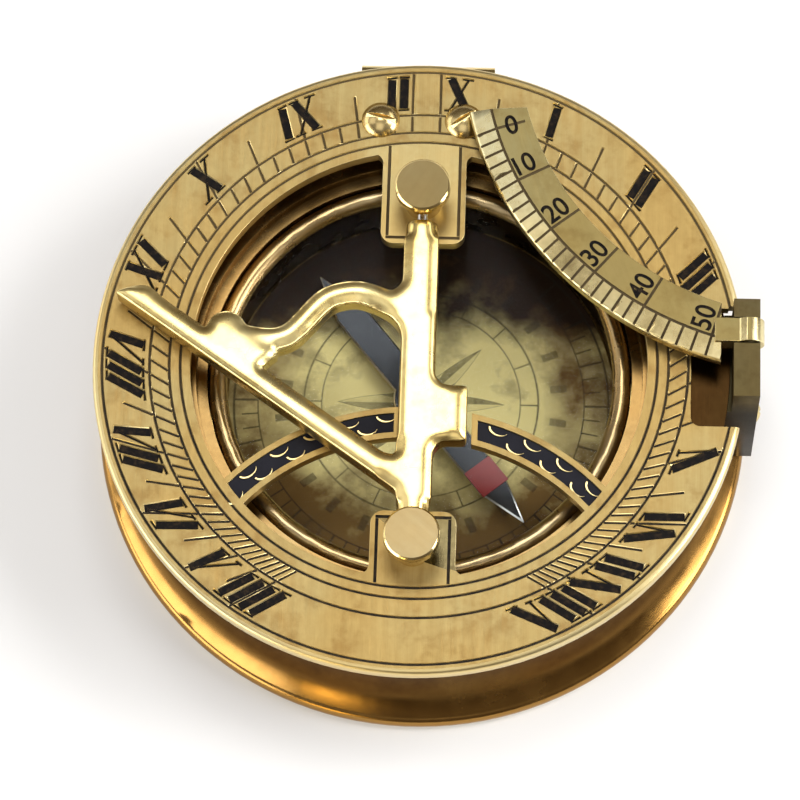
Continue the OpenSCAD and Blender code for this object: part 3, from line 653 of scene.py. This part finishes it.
# Hour lines: morning hours start from the left root, afternoon hours from the right one
ROOT_X, ROOT_Y = 2.15 * MM, -25.5 * MM
RIM_LINE, LADDER_OUT, LADDER_IN, BORE_LINE = 48.5 * MM, 41.2 * MM, 38.2 * MM, 36.5 * MM
HALF_TICK = 45.6 * MM
HOUR_TURN = 15   # degrees
CELLS_PER_HOUR = 6
LINE_W, LINE_DEPTH, LINE_LEAN = 0.48 * MM, 0.14 * MM, 0.08 * MM
STROKE_DEPTH, STROKE_LEAN = 0.24 * MM, 0.12 * MM
STROKE_STEP = 0.004 * MM   # between the floors of thick strokes, thin strokes and serifs, so that none coincide
LAST_HOUR = 8


def on_hour_line(side, hour, radius):
    """The point of an hour's line at a radius of the ring; side is -1 before noon and 1 after it."""
    turn = math.radians(HOUR_TURN * hour)
    d = Vector((side * math.sin(turn), math.cos(turn)))
    root = Vector((side * ROOT_X, ROOT_Y))
    b = root.dot(d)
    return root + d * (-b + math.sqrt(b * b - root.length_squared + radius * radius))


def flat_bar(a, b, width, top):
    """A bar for bar_tool between two points of a flat."""
    return ((a[0], a[1], top), (b[0], b[1], top), width)


def hour_lines():
    """Whole hours to the rim, half hours to a shorter tick, and the cells of the ladder."""
    bars = []
    gap = LINE_W * 0.3

    def line(side, hour, inner, outer):
        a, b = on_hour_line(side, hour, inner), on_hour_line(side, hour, outer)
        bars.append(flat_bar(a, b, LINE_W, ring_top))

    for side in (-1, 1):
        for hour in range(0, LAST_HOUR + 1):
            line(side, hour, LADDER_OUT + gap, RIM_LINE - gap)
        for hour in range(0, LAST_HOUR):
            line(side, hour + 0.5, LADDER_OUT + gap, HALF_TICK)
        for step in range(0, LAST_HOUR * CELLS_PER_HOUR + 1):
            line(side, step / CELLS_PER_HOUR, LADDER_IN + gap, LADDER_OUT - gap)
    return bars


# Numerals stand between two circles, with their tops towards the centre and strokes along the hour line
NUMERAL_OUT, NUMERAL_IN = 47.8 * MM, 42.2 * MM
STROKE_W, THIN_W, SERIF_W = 1.46 * MM, 0.52 * MM, 0.48 * MM
ADVANCE = {"I": 1.9 * MM, "V": 4.6 * MM, "X": 4.8 * MM}
MORNING = {1: "XI", 2: "X", 3: "IX", 4: "VIII", 5: "VII", 6: "VI", 7: "V", 8: "IIII"}
AFTERNOON = {1: "I", 2: "II", 3: "III", 4: "IIII", 5: "V", 6: "VI", 7: "VII", 8: "VIII"}
NOON_GAP = 0.5 * MM
AFTERNOON_SHIFT = {6: -0.9 * MM, 7: -1.3 * MM, 8: -2.7 * MM}   # along the circle, away from the hour line


def numeral(side, hour, text, shift=0.0):
    """Thick strokes, thin strokes and serifs of one numeral, as bars."""
    width = sum(ADVANCE[c] for c in text)
    at = shift - width / 2
    thick, thin, serif = [], [], []

    def point(t, s):
        """t runs from the outer circle (0) to the inner one (1), s along the circle in reading direction."""
        radius = NUMERAL_OUT + (NUMERAL_IN - NUMERAL_OUT) * t
        p = on_hour_line(side, hour, radius)
        angle = math.atan2(p.y, p.x) + s / radius
        return (radius * math.cos(angle), radius * math.sin(angle))

    def stroke(into, t0, s0, t1, s1, w):
        into.append(flat_bar(point(t0, s0), point(t1, s1), w, ring_top))

    for c in text:
        w = ADVANCE[c]
        if c == "I":
            stroke(thick, 0.03, at + w / 2, 0.97, at + w / 2, STROKE_W)
            for t in (0.0, 1.0):
                stroke(serif, t, at + 0.03 * w, t, at + 0.97 * w, SERIF_W)
        elif c == "V":
            stroke(thick, 1.0, at + 0.22 * w, 0.0, at + 0.54 * w, STROKE_W)
            stroke(thin, 1.0, at + 0.86 * w, 0.06, at + 0.56 * w, THIN_W)
            stroke(serif, 1.0, at + 0.02 * w, 1.0, at + 0.46 * w, SERIF_W)
            stroke(serif, 1.0, at + 0.70 * w, 1.0, at + 0.98 * w, SERIF_W)
        else:
            stroke(thick, 1.0, at + 0.22 * w, 0.0, at + 0.78 * w, STROKE_W)
            stroke(thin, 1.0, at + 0.80 * w, 0.0, at + 0.20 * w, THIN_W)
            for t in (0.0, 1.0):
                stroke(serif, t, at + 0.02 * w, t, at + 0.42 * w, SERIF_W)
                stroke(serif, t, at + 0.60 * w, t, at + 0.98 * w, SERIF_W)
        at += w
    return thick, thin, serif


def bevel_edges(obj, chosen, width, segments=4):
    """Bevels the edges for which chosen(first end, second end) is true."""
    only(obj)
    bpy.ops.object.mode_set(mode="EDIT")
    bpy.ops.mesh.select_all(action="DESELECT")
    bpy.ops.mesh.select_mode(type="EDGE")
    bpy.ops.object.mode_set(mode="OBJECT")
    points = obj.data.vertices
    for edge in obj.data.edges:
        a, b = (points[i].co for i in edge.vertices)
        edge.select = bool(chosen(a, b))
    bpy.ops.object.mode_set(mode="EDIT")
    bpy.ops.mesh.bevel(offset=width, segments=segments, profile=0.5, clamp_overlap=True)
    bpy.ops.object.mode_set(mode="OBJECT")
    return obj


def on_circle(radius, z, slack=0.05 * MM, center=(0, 0)):
    """Picks edges whose both ends lie on an upright circle's edge at a height."""
    middle = Vector(center)

    def chosen(a, b):
        return all(abs((p.xy - middle).length - radius) < slack and abs(p.z - z) < slack for p in (a, b))
    return chosen


RING_R, BORE_R = 50 * MM, 35 * MM
RIM_ROUND, BORE_ROUND = 0.8 * MM, 0.55 * MM

# The tabs and the fine line inside their edges
TAB_W, TAB_LINE_IN = 13 * MM, 1.0 * MM
TAB_N_END, TAB_S_END = 19.4 * MM, -24.3 * MM


def tab_lines():
    """Each tab's frame: two sides that start at the bore's line, and an end."""
    bars = []
    x = TAB_W / 2 - TAB_LINE_IN
    for end, root, side in ((TAB_N_END, BORE_LINE, -1), (TAB_S_END, BORE_LINE, 1)):
        y_end = end - side * TAB_LINE_IN
        y_root = -side * math.sqrt(root ** 2 - x ** 2)
        step = LINE_W * 0.6 * (1 if y_end < y_root else -1)
        for sx in (-1, 1):
            bars.append(flat_bar((sx * x, y_end + step), (sx * x, y_root - step), LINE_W, ring_top))
        bars.append(flat_bar((-x - LINE_W / 2, y_end), (x + LINE_W / 2, y_end), LINE_W, ring_top))
    return bars


def bore_edge(a, b):
    """Picks the top edges of the bore and of the tabs in it."""
    slack = 0.05 * MM

    def on_bore(p):
        past_end = p.y > TAB_N_END - slack or p.y < TAB_S_END + slack
        by_tab = abs(p.x) < TAB_W / 2 + 2 * MM and past_end and p.xy.length < BORE_R
        return abs(p.z - ring_top) < 0.02 * MM and (abs(p.xy.length - BORE_R) < slack or by_tab)
    return on_bore(a) and on_bore(b)


def make_hour_ring():
    """The ring with its rounded edges, circles, hour lines, tab frames and numerals."""
    ring = copy_of("hour_ring", "hour_ring_piece")
    bevel_edges(ring, on_circle(RING_R, ring_top), RIM_ROUND, 6)
    bevel_edges(ring, bore_edge, BORE_ROUND, 4)
    soften(ring, 0.25 * MM, angle=50)
    set_slots(ring, (RING_BRASS, LINES, ENGRAVING, EDGE_BRASS, TAB_BRASS, SOUTH_TAB_PAINTED_SHADE))
    for face in ring.data.polygons:
        if face.normal.z < UPWARD:
            face.material_index = EDGE
    circles = (RIM_LINE, LADDER_OUT, LADDER_IN, BORE_LINE)
    engrave(ring, circle_tool("circles", circles, LINE_W, ring_top, LINE_DEPTH, LINE_LEAN, EDGE, LINE))
    engrave(ring, bar_tool("hour_lines", hour_lines(), LINE_DEPTH * 1.02, LINE_LEAN, EDGE, LINE))
    engrave(ring, bar_tool("tab_lines", tab_lines(), LINE_DEPTH, LINE_LEAN, LINE, LINE))
    marks = [(-1, hour, text, 0.0) for hour, text in MORNING.items()]
    marks += [(1, hour, text, AFTERNOON_SHIFT.get(hour, 0.0)) for hour, text in AFTERNOON.items()]
    marks += [(-1, 0, "II", ADVANCE["I"] + NOON_GAP), (1, 0, "X", -ADVANCE["X"] / 2 - NOON_GAP)]
    for side in (-1, 1):
        groups = ([], [], [])
        for mark in marks:
            if mark[0] == side:
                for into, bars in zip(groups, numeral(*mark)):
                    into += bars
        for i, bars in enumerate(groups):
            depth = STROKE_DEPTH + i * STROKE_STEP
            engrave(ring, bar_tool(f"strokes_{i}", bars, depth, STROKE_LEAN, EDGE, WAX))
    inner_x = TAB_W / 2 - TAB_LINE_IN
    for face in ring.data.polygons:
        x, y = face.center.x, face.center.y
        on_top = face.normal.z > UPWARD and face.material_index == PLAIN
        if on_top and abs(x) < inner_x and face.center.xy.length < BORE_LINE:
            if y > TAB_N_END or y < TAB_S_END:
                # The south tab's plate takes the near-black brass that paints the south post's shade
                face.material_index = NORTH_TAB if y > 0 else SOUTH_TAB
    smooth(ring, 30)
    dress(ring, "ring", "hour_ring")


make_hour_ring()


# Plain metal pieces: softened copies of the solids

def make_metal(node, body, material, width):
    """One node in one metal, its edges rounded by width, in mm."""
    obj = copy_of(node)
    soften(obj, width * MM)
    obj.data.materials.append(material)
    smooth(obj)
    return dress(obj, body, node)


BOWL_R, BOWL_TOP = 31.0 * MM, 16.0 * MM
FLANK_R, FOOT_TOP = 36.5 * MM, 1.5 * MM
CASE_BOWL, CASE_FLANK, CASE_RIM, CASE_LEDGE = range(1, 5)   # the case's material slots after its plain one


def make_case():
    """The case with rounded edges. Its bowl, rim and ledge are painted dark as painted shade, and its flank as
    painted shade with a lighter band near the foot as painted light.
    """
    obj = copy_of("case_body")
    soften(obj, 0.3 * MM)
    set_slots(obj, (CASE_BRASS, BOWL_PAINTED_SHADE, FLANK_PAINTED_SHADE, RIM_PAINTED_SHADE, LEDGE_PAINTED_SHADE))
    points = obj.data.vertices
    for face in obj.data.polygons:
        r, z = max(points[i].co.xy.length for i in face.vertices), face.center.z
        if r < BOWL_R and 1 * MM < z < BOWL_TOP:
            face.material_index = CASE_BOWL
        elif r > FLANK_R and z > FOOT_TOP:
            face.material_index = CASE_RIM if face.normal.z > 0.9 and z > BOWL_TOP else CASE_FLANK
        elif r > BOWL_R and z > BOWL_TOP:
            face.material_index = CASE_LEDGE
    smooth(obj)
    dress(obj, "base", "case_body")


make_case()
make_metal("glass_ring", "base", BEZEL_BRASS, 0.1)
make_metal("ring_screws", "ring", SCREW_BRASS, 0.12)
make_metal("hinge_leaf", "ring", TURNED_BRASS, 0.15)
make_metal("hinge_block", "base", CASE_BRASS, 0.15)
make_metal("block_screws", "base", TURNED_BRASS, 0.08)
make_metal("arc_bracket", "base", BRACKET_PAINTED_SHADE, 0.5)


def make_post(node, faced):
    """A turned post: its faced top is dull, its side and neck are polished."""
    obj = copy_of(node)
    soften(obj, 0.35 * MM, 4)
    set_slots(obj, (TURNED_BRASS, faced))
    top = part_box(node)[1].z
    for face in obj.data.polygons:
        face.material_index = 1 if face.center.z > top - 0.02 * MM else 0
    smooth(obj)
    dress(obj, "ring", node)


# The north post's top takes the darker copy, as painted shade
make_post("north_post", NORTH_POST_PAINTED_SHADE)
make_post("south_post", SOUTH_BRASS)
make_metal("bracket_screws", "base", TURNED_BRASS, 0.08)
make_metal("needle_cap", "needle", TURNED_BRASS, 0.1)
for name in ("hinge_pin", "arc_pin"):
    make_metal(name, "base", STEEL, 0.1)
make_metal("gnomon_pivots", "gnomon", STEEL, 0.1)
make_metal("pivot_pin", "base", STEEL, 0.05)


# The gnomon: its style runs from its root up to the left, at an angle from the noon line
STYLE_ROOT = Vector((0, -22.45 * MM))
STYLE_ANGLE = math.radians(54.8)
STYLE_ALONG = Vector((-math.sin(STYLE_ANGLE), math.cos(STYLE_ANGLE)))
STYLE_ACROSS = Vector((math.cos(STYLE_ANGLE), math.sin(STYLE_ANGLE)))
BAR_SIDE, BAR_BLEND = 3.4 * MM, 9 * MM        # the slopes start at the bar's side and are whole further out
STYLE_SLOPE, STYLE_SLOPE_W = 0.07, 5 * MM     # of the style's inner half and the plate beside it
STRUT_SLOPE, STRUT_SLOPE_W = 0.13, 3.6 * MM   # of the strut, from its north side

# Crowned edges: how far in they start and how far down they go
CROWN_H = 0.55 * MM
CROWN_W, BAR_CROWN_W, STYLE_CROWN_W = 1.8 * MM, 0.9 * MM, 0.6 * MM
CROWN_REACH = 2.5 * MM   # the depth of the sides that count as the outline


def near_points(points):
    """A search tree of points, seen from above."""
    tree = KDTree(len(points))
    for i, point in enumerate(points):
        tree.insert((point.x, point.y, 0), i)
    tree.balance()
    return tree


def ramp(value, low, high):
    """0 at low, 1 at high, smooth and held outside."""
    t = min(1, max(0, (value - low) / (high - low)))
    return t * t * (3 - 2 * t)


def crown(obj, top):
    """Lowers the top towards its outline, so that arms and bars are rounded across."""
    def in_pivot_hole(co):
        return abs(co.x) < 1.9 * MM and abs(co.y) > 12 * MM

    sides = [v.co for v in obj.data.vertices if abs(v.normal.z) < 0.4 and v.co.z > top - CROWN_REACH]
    tree = near_points([co for co in sides if not in_pivot_hole(co)])
    for v in obj.data.vertices:
        if v.normal.z < 0.5 or v.co.z < top - CROWN_REACH:
            continue
        away = tree.find((v.co.x, v.co.y, 0))[2]
        on_bar = abs(v.co.x) < 5 * MM and -14 * MM < v.co.y < 6 * MM
        p = v.co.xy - STYLE_ROOT
        style_edge = p.length > 6 * MM and p.dot(STYLE_ACROSS) < 0.6 * MM
        width = STYLE_CROWN_W if style_edge else BAR_CROWN_W if on_bar else CROWN_W
        if away < width:
            v.co.z -= CROWN_H * (width / CROWN_W) * (1 - away / width) ** 2


def make_gnomon():
    """The casting: remeshed and smoothed to round edges, with its style and strut sloped towards the bar."""
    obj = copy_of("gnomon", "gnomon_casting")
    apply_modifier(obj, "REMESH", mode="VOXEL", voxel_size=0.22 * MM)
    apply_modifier(obj, "SMOOTH", factor=0.6, iterations=34)
    top = max(v.co.z for v in obj.data.vertices)
    north_side = near_points([v.co for v in obj.data.vertices
                              if v.normal.y > 0.3 and abs(v.normal.z) < 0.4])
    for v in obj.data.vertices:
        p = v.co.xy - STYLE_ROOT
        s, t = p.dot(STYLE_ALONG), p.dot(STYLE_ACROSS)
        if v.normal.z < 0.5 or v.co.z < top - 1.6 * MM or s < 2 * MM:
            continue
        from_bar = ramp(-v.co.x, BAR_SIDE, BAR_BLEND)
        v.co.z -= STYLE_SLOPE * min(max(0, t - 0.5 * MM), STYLE_SLOPE_W) * from_bar
        away = north_side.find((v.co.x, v.co.y, 0))[2]
        v.co.z -= STRUT_SLOPE * min(away, STRUT_SLOPE_W) * from_bar * ramp(t, 4 * MM, 7 * MM)
    crown(obj, top)
    apply_modifier(obj, "SMOOTH", factor=0.5, iterations=26)
    obj.data.materials.append(CAST_BRASS)
    only(obj)
    bpy.ops.object.shade_smooth()
    dress(obj, "gnomon", "gnomon")


make_gnomon()

# The arc: its ladder lies on the slope between its middle and outer circles
ARC_OUT, ARC_MID, ARC_IN = 54.3 * MM, 51.0 * MM, 45.5 * MM
ARC_EDGE_Z = arc_top - 1.0 * MM
DEGREES = {0: 17.1, 10: 27.6, 20: 38.4, 30: 49.35, 40: 59.9, 50: 72.6}   # a label and its line's angle
LAST_LINE = 75.2   # one more line stands past the last label
CELLS_PER_LABEL = 5
ARC_LINE_W = 0.44 * MM
DIGIT_SIZE, DIGIT_SQUEEZE = 4.5 * MM, 0.9
DIGIT_R, ZERO_R = 50.5 * MM, 48.6 * MM   # where digits start, and the middle of the zero
DIGIT_GAP = 0.45 * MM                    # between a digit and its line


def arc_at(angle, radius, z):
    """A point of the arc; angle 0 points to -X and grows southwards."""
    a = math.radians(angle)
    return Vector((ARC_CENTER[0] - radius * math.cos(a), ARC_CENTER[1] - radius * math.sin(a), z))


def arc_lines():
    """The ladder's lines on the slope, and the labels' lines on the flat."""
    gap = 0.16 * MM
    flats, slopes = [], []
    angles = list(DEGREES.values())
    for start, end in zip(angles, angles[1:]):
        slopes += [start + (end - start) * i / CELLS_PER_LABEL for i in range(CELLS_PER_LABEL)]
    slopes += [angles[-1], LAST_LINE]
    slope = [(arc_at(a, ARC_MID + gap, arc_top), arc_at(a, ARC_OUT + 0.3 * MM, ARC_EDGE_Z - 0.09 * MM),
              ARC_LINE_W) for a in slopes]
    for label, a in DEGREES.items():
        inner = ARC_IN + (0.9 * MM if label == 0 else -0.3 * MM)
        flats.append((arc_at(a, inner, arc_top), arc_at(a, ARC_MID - gap, arc_top), ARC_LINE_W))
    return slope, flats


def arc_digits():
    """The labels as solid digits, to be cut. They stand north of their lines and read from the ladder in.

    The zero stands across its line instead.
    """
    made = []
    for label, angle in DEGREES.items():
        bpy.ops.object.select_all(action="DESELECT")
        bpy.ops.object.text_add()
        obj = bpy.context.object
        obj.data.body = str(label)
        obj.data.size = DIGIT_SIZE
        obj.data.extrude = 0.2 * MM
        obj.data.offset = 0.07 * MM
        obj.data.resolution_u = 6
        bpy.ops.object.convert(target="MESH")
        in_edit(obj, lambda: bpy.ops.mesh.remove_doubles(threshold=0.003 * MM), face_outwards)
        xs = [v.co.x for v in obj.data.vertices]
        ys = [v.co.y for v in obj.data.vertices]
        a = math.radians(angle)
        inward = Vector((math.cos(a), math.sin(a), 0))
        back = Vector((-math.sin(a), math.cos(a), 0))
        if label == 0:
            start = arc_at(angle, ZERO_R, arc_top) - inward * (max(xs) + min(xs)) / 2 * DIGIT_SQUEEZE
            start -= back * (max(ys) + min(ys)) / 2
        else:
            start = arc_at(angle, DIGIT_R, arc_top) - inward * min(xs) * DIGIT_SQUEEZE
            start += back * (DIGIT_GAP - min(ys))
        turn = Matrix((inward * DIGIT_SQUEEZE, back, Vector((0, 0, 1)))).transposed().to_4x4()
        obj.matrix_world = Matrix.Translation(start + Vector((0, 0, 0.05 * MM))) @ turn
        settle(obj)
        in_edit(obj, face_outwards)
        made.append(obj)
    return made


def make_latitude_arc():
    """The arc with its rounded edges, ladder, label lines, circle and digits."""
    arc = copy_of("latitude_arc", "latitude_arc_piece")
    bevel_edges(arc, on_circle(ARC_OUT, ARC_EDGE_Z, 0.3 * MM, ARC_CENTER), 0.55 * MM, 4)
    soften(arc, 0.12 * MM, angle=50)
    set_slots(arc, (ARC_BRASS, LINES, ENGRAVING, LADDER_PAINTED_HIGHLIGHT))
    for face in arc.data.polygons:
        # Faces off the flat top take the paler brass: a painted highlight on the ladder's slope
        if face.normal.z < 0.99:
            face.material_index = EDGE
    slopes, flats = arc_lines()
    engrave(arc, bar_tool("arc_slopes", slopes, 0.12 * MM, 0.03 * MM, LINE, LINE))
    engrave(arc, bar_tool("arc_flats", flats, 0.13 * MM, 0.03 * MM, LINE, LINE))
    engrave(arc, circle_tool("arc_circle", (ARC_MID,), ARC_LINE_W, arc_top, 0.15 * MM, 0.04 * MM,
                             LINE, LINE, ARC_CENTER))
    for digits in arc_digits():
        set_slots(digits, arc.data.materials)
        for face in digits.data.polygons:
            face.material_index = WAX
        cut(arc, digits)
    smooth(arc, 14)
    dress(arc, "arc", "latitude_arc")


make_latitude_arc()


def make_needle():
    """The steel bar, ground to a bright bevel along its edges."""
    obj = copy_of("needle_blade", "needle_bar")
    soften(obj, 0.42 * MM, 1, 40)
    set_slots(obj, (NEEDLE_STEEL, NEEDLE_EDGE))
    for face in obj.data.polygons:
        face.material_index = 1 if 0.2 < face.normal.z < 0.95 else 0
    smooth(obj, 20)
    dress(obj, "needle", "needle_blade")


make_needle()
make_metal("needle_marker", "needle", RED, 0.03)
make_metal("bridge_enamel", "ring", ENAMEL, 0.05)

# The bridge's scales: thin raised crescents in two rows, left proud of the enamel
BRIDGE_CENTER = (0, -47.6 * MM)
SCALE_ROWS = ((38.45 * MM, 0.0), (36.75 * MM, 0.5))
SCALE_PITCH = 5.8 * MM
SCALE_FREE = ((-27.5, -3.6), (9.8, 27.5))   # where they may stand along X, in mm
SCALE_W, SCALE_H = 1.6 * MM, 1.15 * MM      # half the width of a scale, and its depth
SCALE_START, SCALE_SWEEP, SCALE_STEPS = 182, 160, 12


def make_scale():
    """One crescent, open upwards and heavier at its left end."""
    outer, inner = [], []
    for i in range(SCALE_STEPS + 1):
        t = math.radians(SCALE_START + SCALE_SWEEP * i / SCALE_STEPS)
        w = (0.38 - 0.18 * i / SCALE_STEPS) * MM
        w *= 0.5 + 0.5 * math.sin(math.pi * min(1, (i + 2.5) / (SCALE_STEPS + 1)))
        outer.append((SCALE_W * math.cos(t), SCALE_H * math.sin(t)))
        inner.append(((SCALE_W - w) * math.cos(t), (SCALE_H - w) * math.sin(t)))
    obj = plate("scale", outer + inner[::-1], enamel_top - 0.05 * MM, enamel_top + 0.2 * MM)
    return soften(obj, 0.05 * MM, 2, 40)


def make_scales():
    """Both rows of scales. The middle of the bridge, under the gnomon's bar, is left bare."""
    first = make_scale()
    copies = []
    for radius, shift in SCALE_ROWS:
        step = SCALE_PITCH / radius
        for i in range(-9, 10):
            t = (i + shift + 0.2) * step
            x = BRIDGE_CENTER[0] + radius * math.sin(t)
            y = BRIDGE_CENTER[1] + radius * math.cos(t) + 0.45 * MM
            if not any(low * MM < x < high * MM for low, high in SCALE_FREE):
                continue
            obj = bpy.data.objects.new("scale_copy", first.data.copy())
            bpy.context.scene.collection.objects.link(obj)
            obj.matrix_world = Matrix.Translation((x, y, 0)) @ Matrix.Rotation(-t, 4, "Z")
            copies.append(settle(obj))
    bpy.data.objects.remove(first)
    scales = join("bridge_scales", copies)
    scales.data.materials.append(EDGE_BRASS)
    smooth(scales)
    dress(scales, "ring")


make_scales()


def make_card():
    """The printed card: circles, ticks and a rose, darker towards its rim and away from its middle, with a
    painted shadow of the ring over its north part.
    """
    f = Finish("card_print")
    split = f.add("ShaderNodeSeparateXYZ", None, {0: f.place()})
    x, y = Value(f, split.outputs[0]), Value(f, split.outputs[1])
    radius = (x * x + y * y).math("POWER", 0.5) / MM
    angle = x.math("ARCTAN2", y) / FULL_TURN

    def ring_line(r, width):
        return 1 - (radius - r).math("ABSOLUTE").between(width / 2 - 0.12, width / 2 + 0.12)

    def ticks(count, width, inner, outer, turn=0.0):
        """Radial ticks; the distance to the nearest one is measured along the circle."""
        away = ((angle * count + turn).math("FRACT") - 0.5).math("ABSOLUTE") * -1 + 0.5
        across = away * radius * (FULL_TURN / count)
        within = radius.between(inner - 0.03, inner + 0.03)
        beyond = radius.between(outer - 0.03, outer + 0.03)
        return (1 - across.between(width / 2 - 0.1, width / 2 + 0.12)) * (within * (1 - beyond))

    saw = ((angle * 8).math("FRACT") - 0.5).math("ABSOLUTE") * 2
    star = radius - (saw * saw * 8.5 + 4.5)
    half = ((angle * 16).math("FRACT") * 2 - 1).between(-0.02, 0.02)
    rose = (1 - star.between(-0.05, 0.05)) * (half * 0.7 + 0.15)
    outline = 1 - star.math("ABSOLUTE").between(0.06, 0.16)
    ink = ring_line(29.4, 0.35) + ring_line(25.6, 0.22) + ring_line(18.4, 0.3) + ring_line(15.6, 0.2)
    ink = ink + ticks(72, 0.22, 25.6, 28.2) + ticks(24, 0.3, 25.6, 29.4) + ticks(16, 0.22, 15.6, 18.4)
    ink = ink + ticks(24, 1.2, 20.4, 23.0, 0.5) * 0.75 + rose + outline
    cloud = f.noise(150.0, 5, 0.62)
    grain = f.noise(1600.0, 3, 0.6)
    away = (y / MM - 1).math("ABSOLUTE").between(8, 20)
    # Darker towards the rim and towards north and south
    rim_darkening = (radius.between(17, 25) * 0.75 + away * 0.55 + (cloud - 0.5) * 2.0).clamped()
    # Painted shadow: the ring's shade over the card's north part, near black
    painted_north_shadow = ((y / MM).between(8, 17) + radius.between(24, 30) * 0.3 + (cloud - 0.5) * 1.4).clamped()
    paper = f.mix((cloud + (grain - 0.5) * 0.6).clamped(), (0.82, 0.68, 0.27, 1), (0.98, 0.87, 0.45, 1))
    darkened_paper = f.mix(painted_north_shadow, f.mix(rim_darkening, paper, (0.20, 0.11, 0.03, 1)), (0.022, 0.010, 0.005, 1))
    worn = (ink.clamped() * (0.66 - (grain - 0.5) * 0.6 - (cloud - 0.5) * 1.2)).clamped()
    f.surface(Base_Color=f.mix(worn, darkened_paper, (0.022, 0.018, 0.014, 1)), Roughness=cloud * 0.2 + 0.5,
              Specular_IOR_Level=0.15, Normal=f.bump(grain, 0.02 * MM, 0.4))
    obj = copy_of("compass_card")
    soften(obj, 0.08 * MM)
    obj.data.materials.append(f.material)
    smooth(obj)
    dress(obj, "base", "compass_card")


make_card()


def make_glass():
    """The window: clear, with a faint shine."""
    f = Finish("window_glass")
    clear = f.add("ShaderNodeBsdfTransparent", None, {0: (0.96, 0.97, 0.96, 1)})
    shine = f.add("ShaderNodeBsdfGlossy", None, {"Color": (1, 1, 1, 1), "Roughness": 0.02})
    fresnel = Value(f, f.add("ShaderNodeFresnel", None, {"IOR": 1.3}).outputs[0])
    both = f.add("ShaderNodeMixShader", None, {0: fresnel * 0.04, 1: clear.outputs[0], 2: shine.outputs[0]})
    f.tree.links.new(both.outputs[0], f.out.inputs[0])
    obj = copy_of("glass")
    soften(obj, 0.2 * MM)
    obj.data.materials.append(f.material)
    smooth(obj)
    dress(obj, "base", "glass")


make_glass()
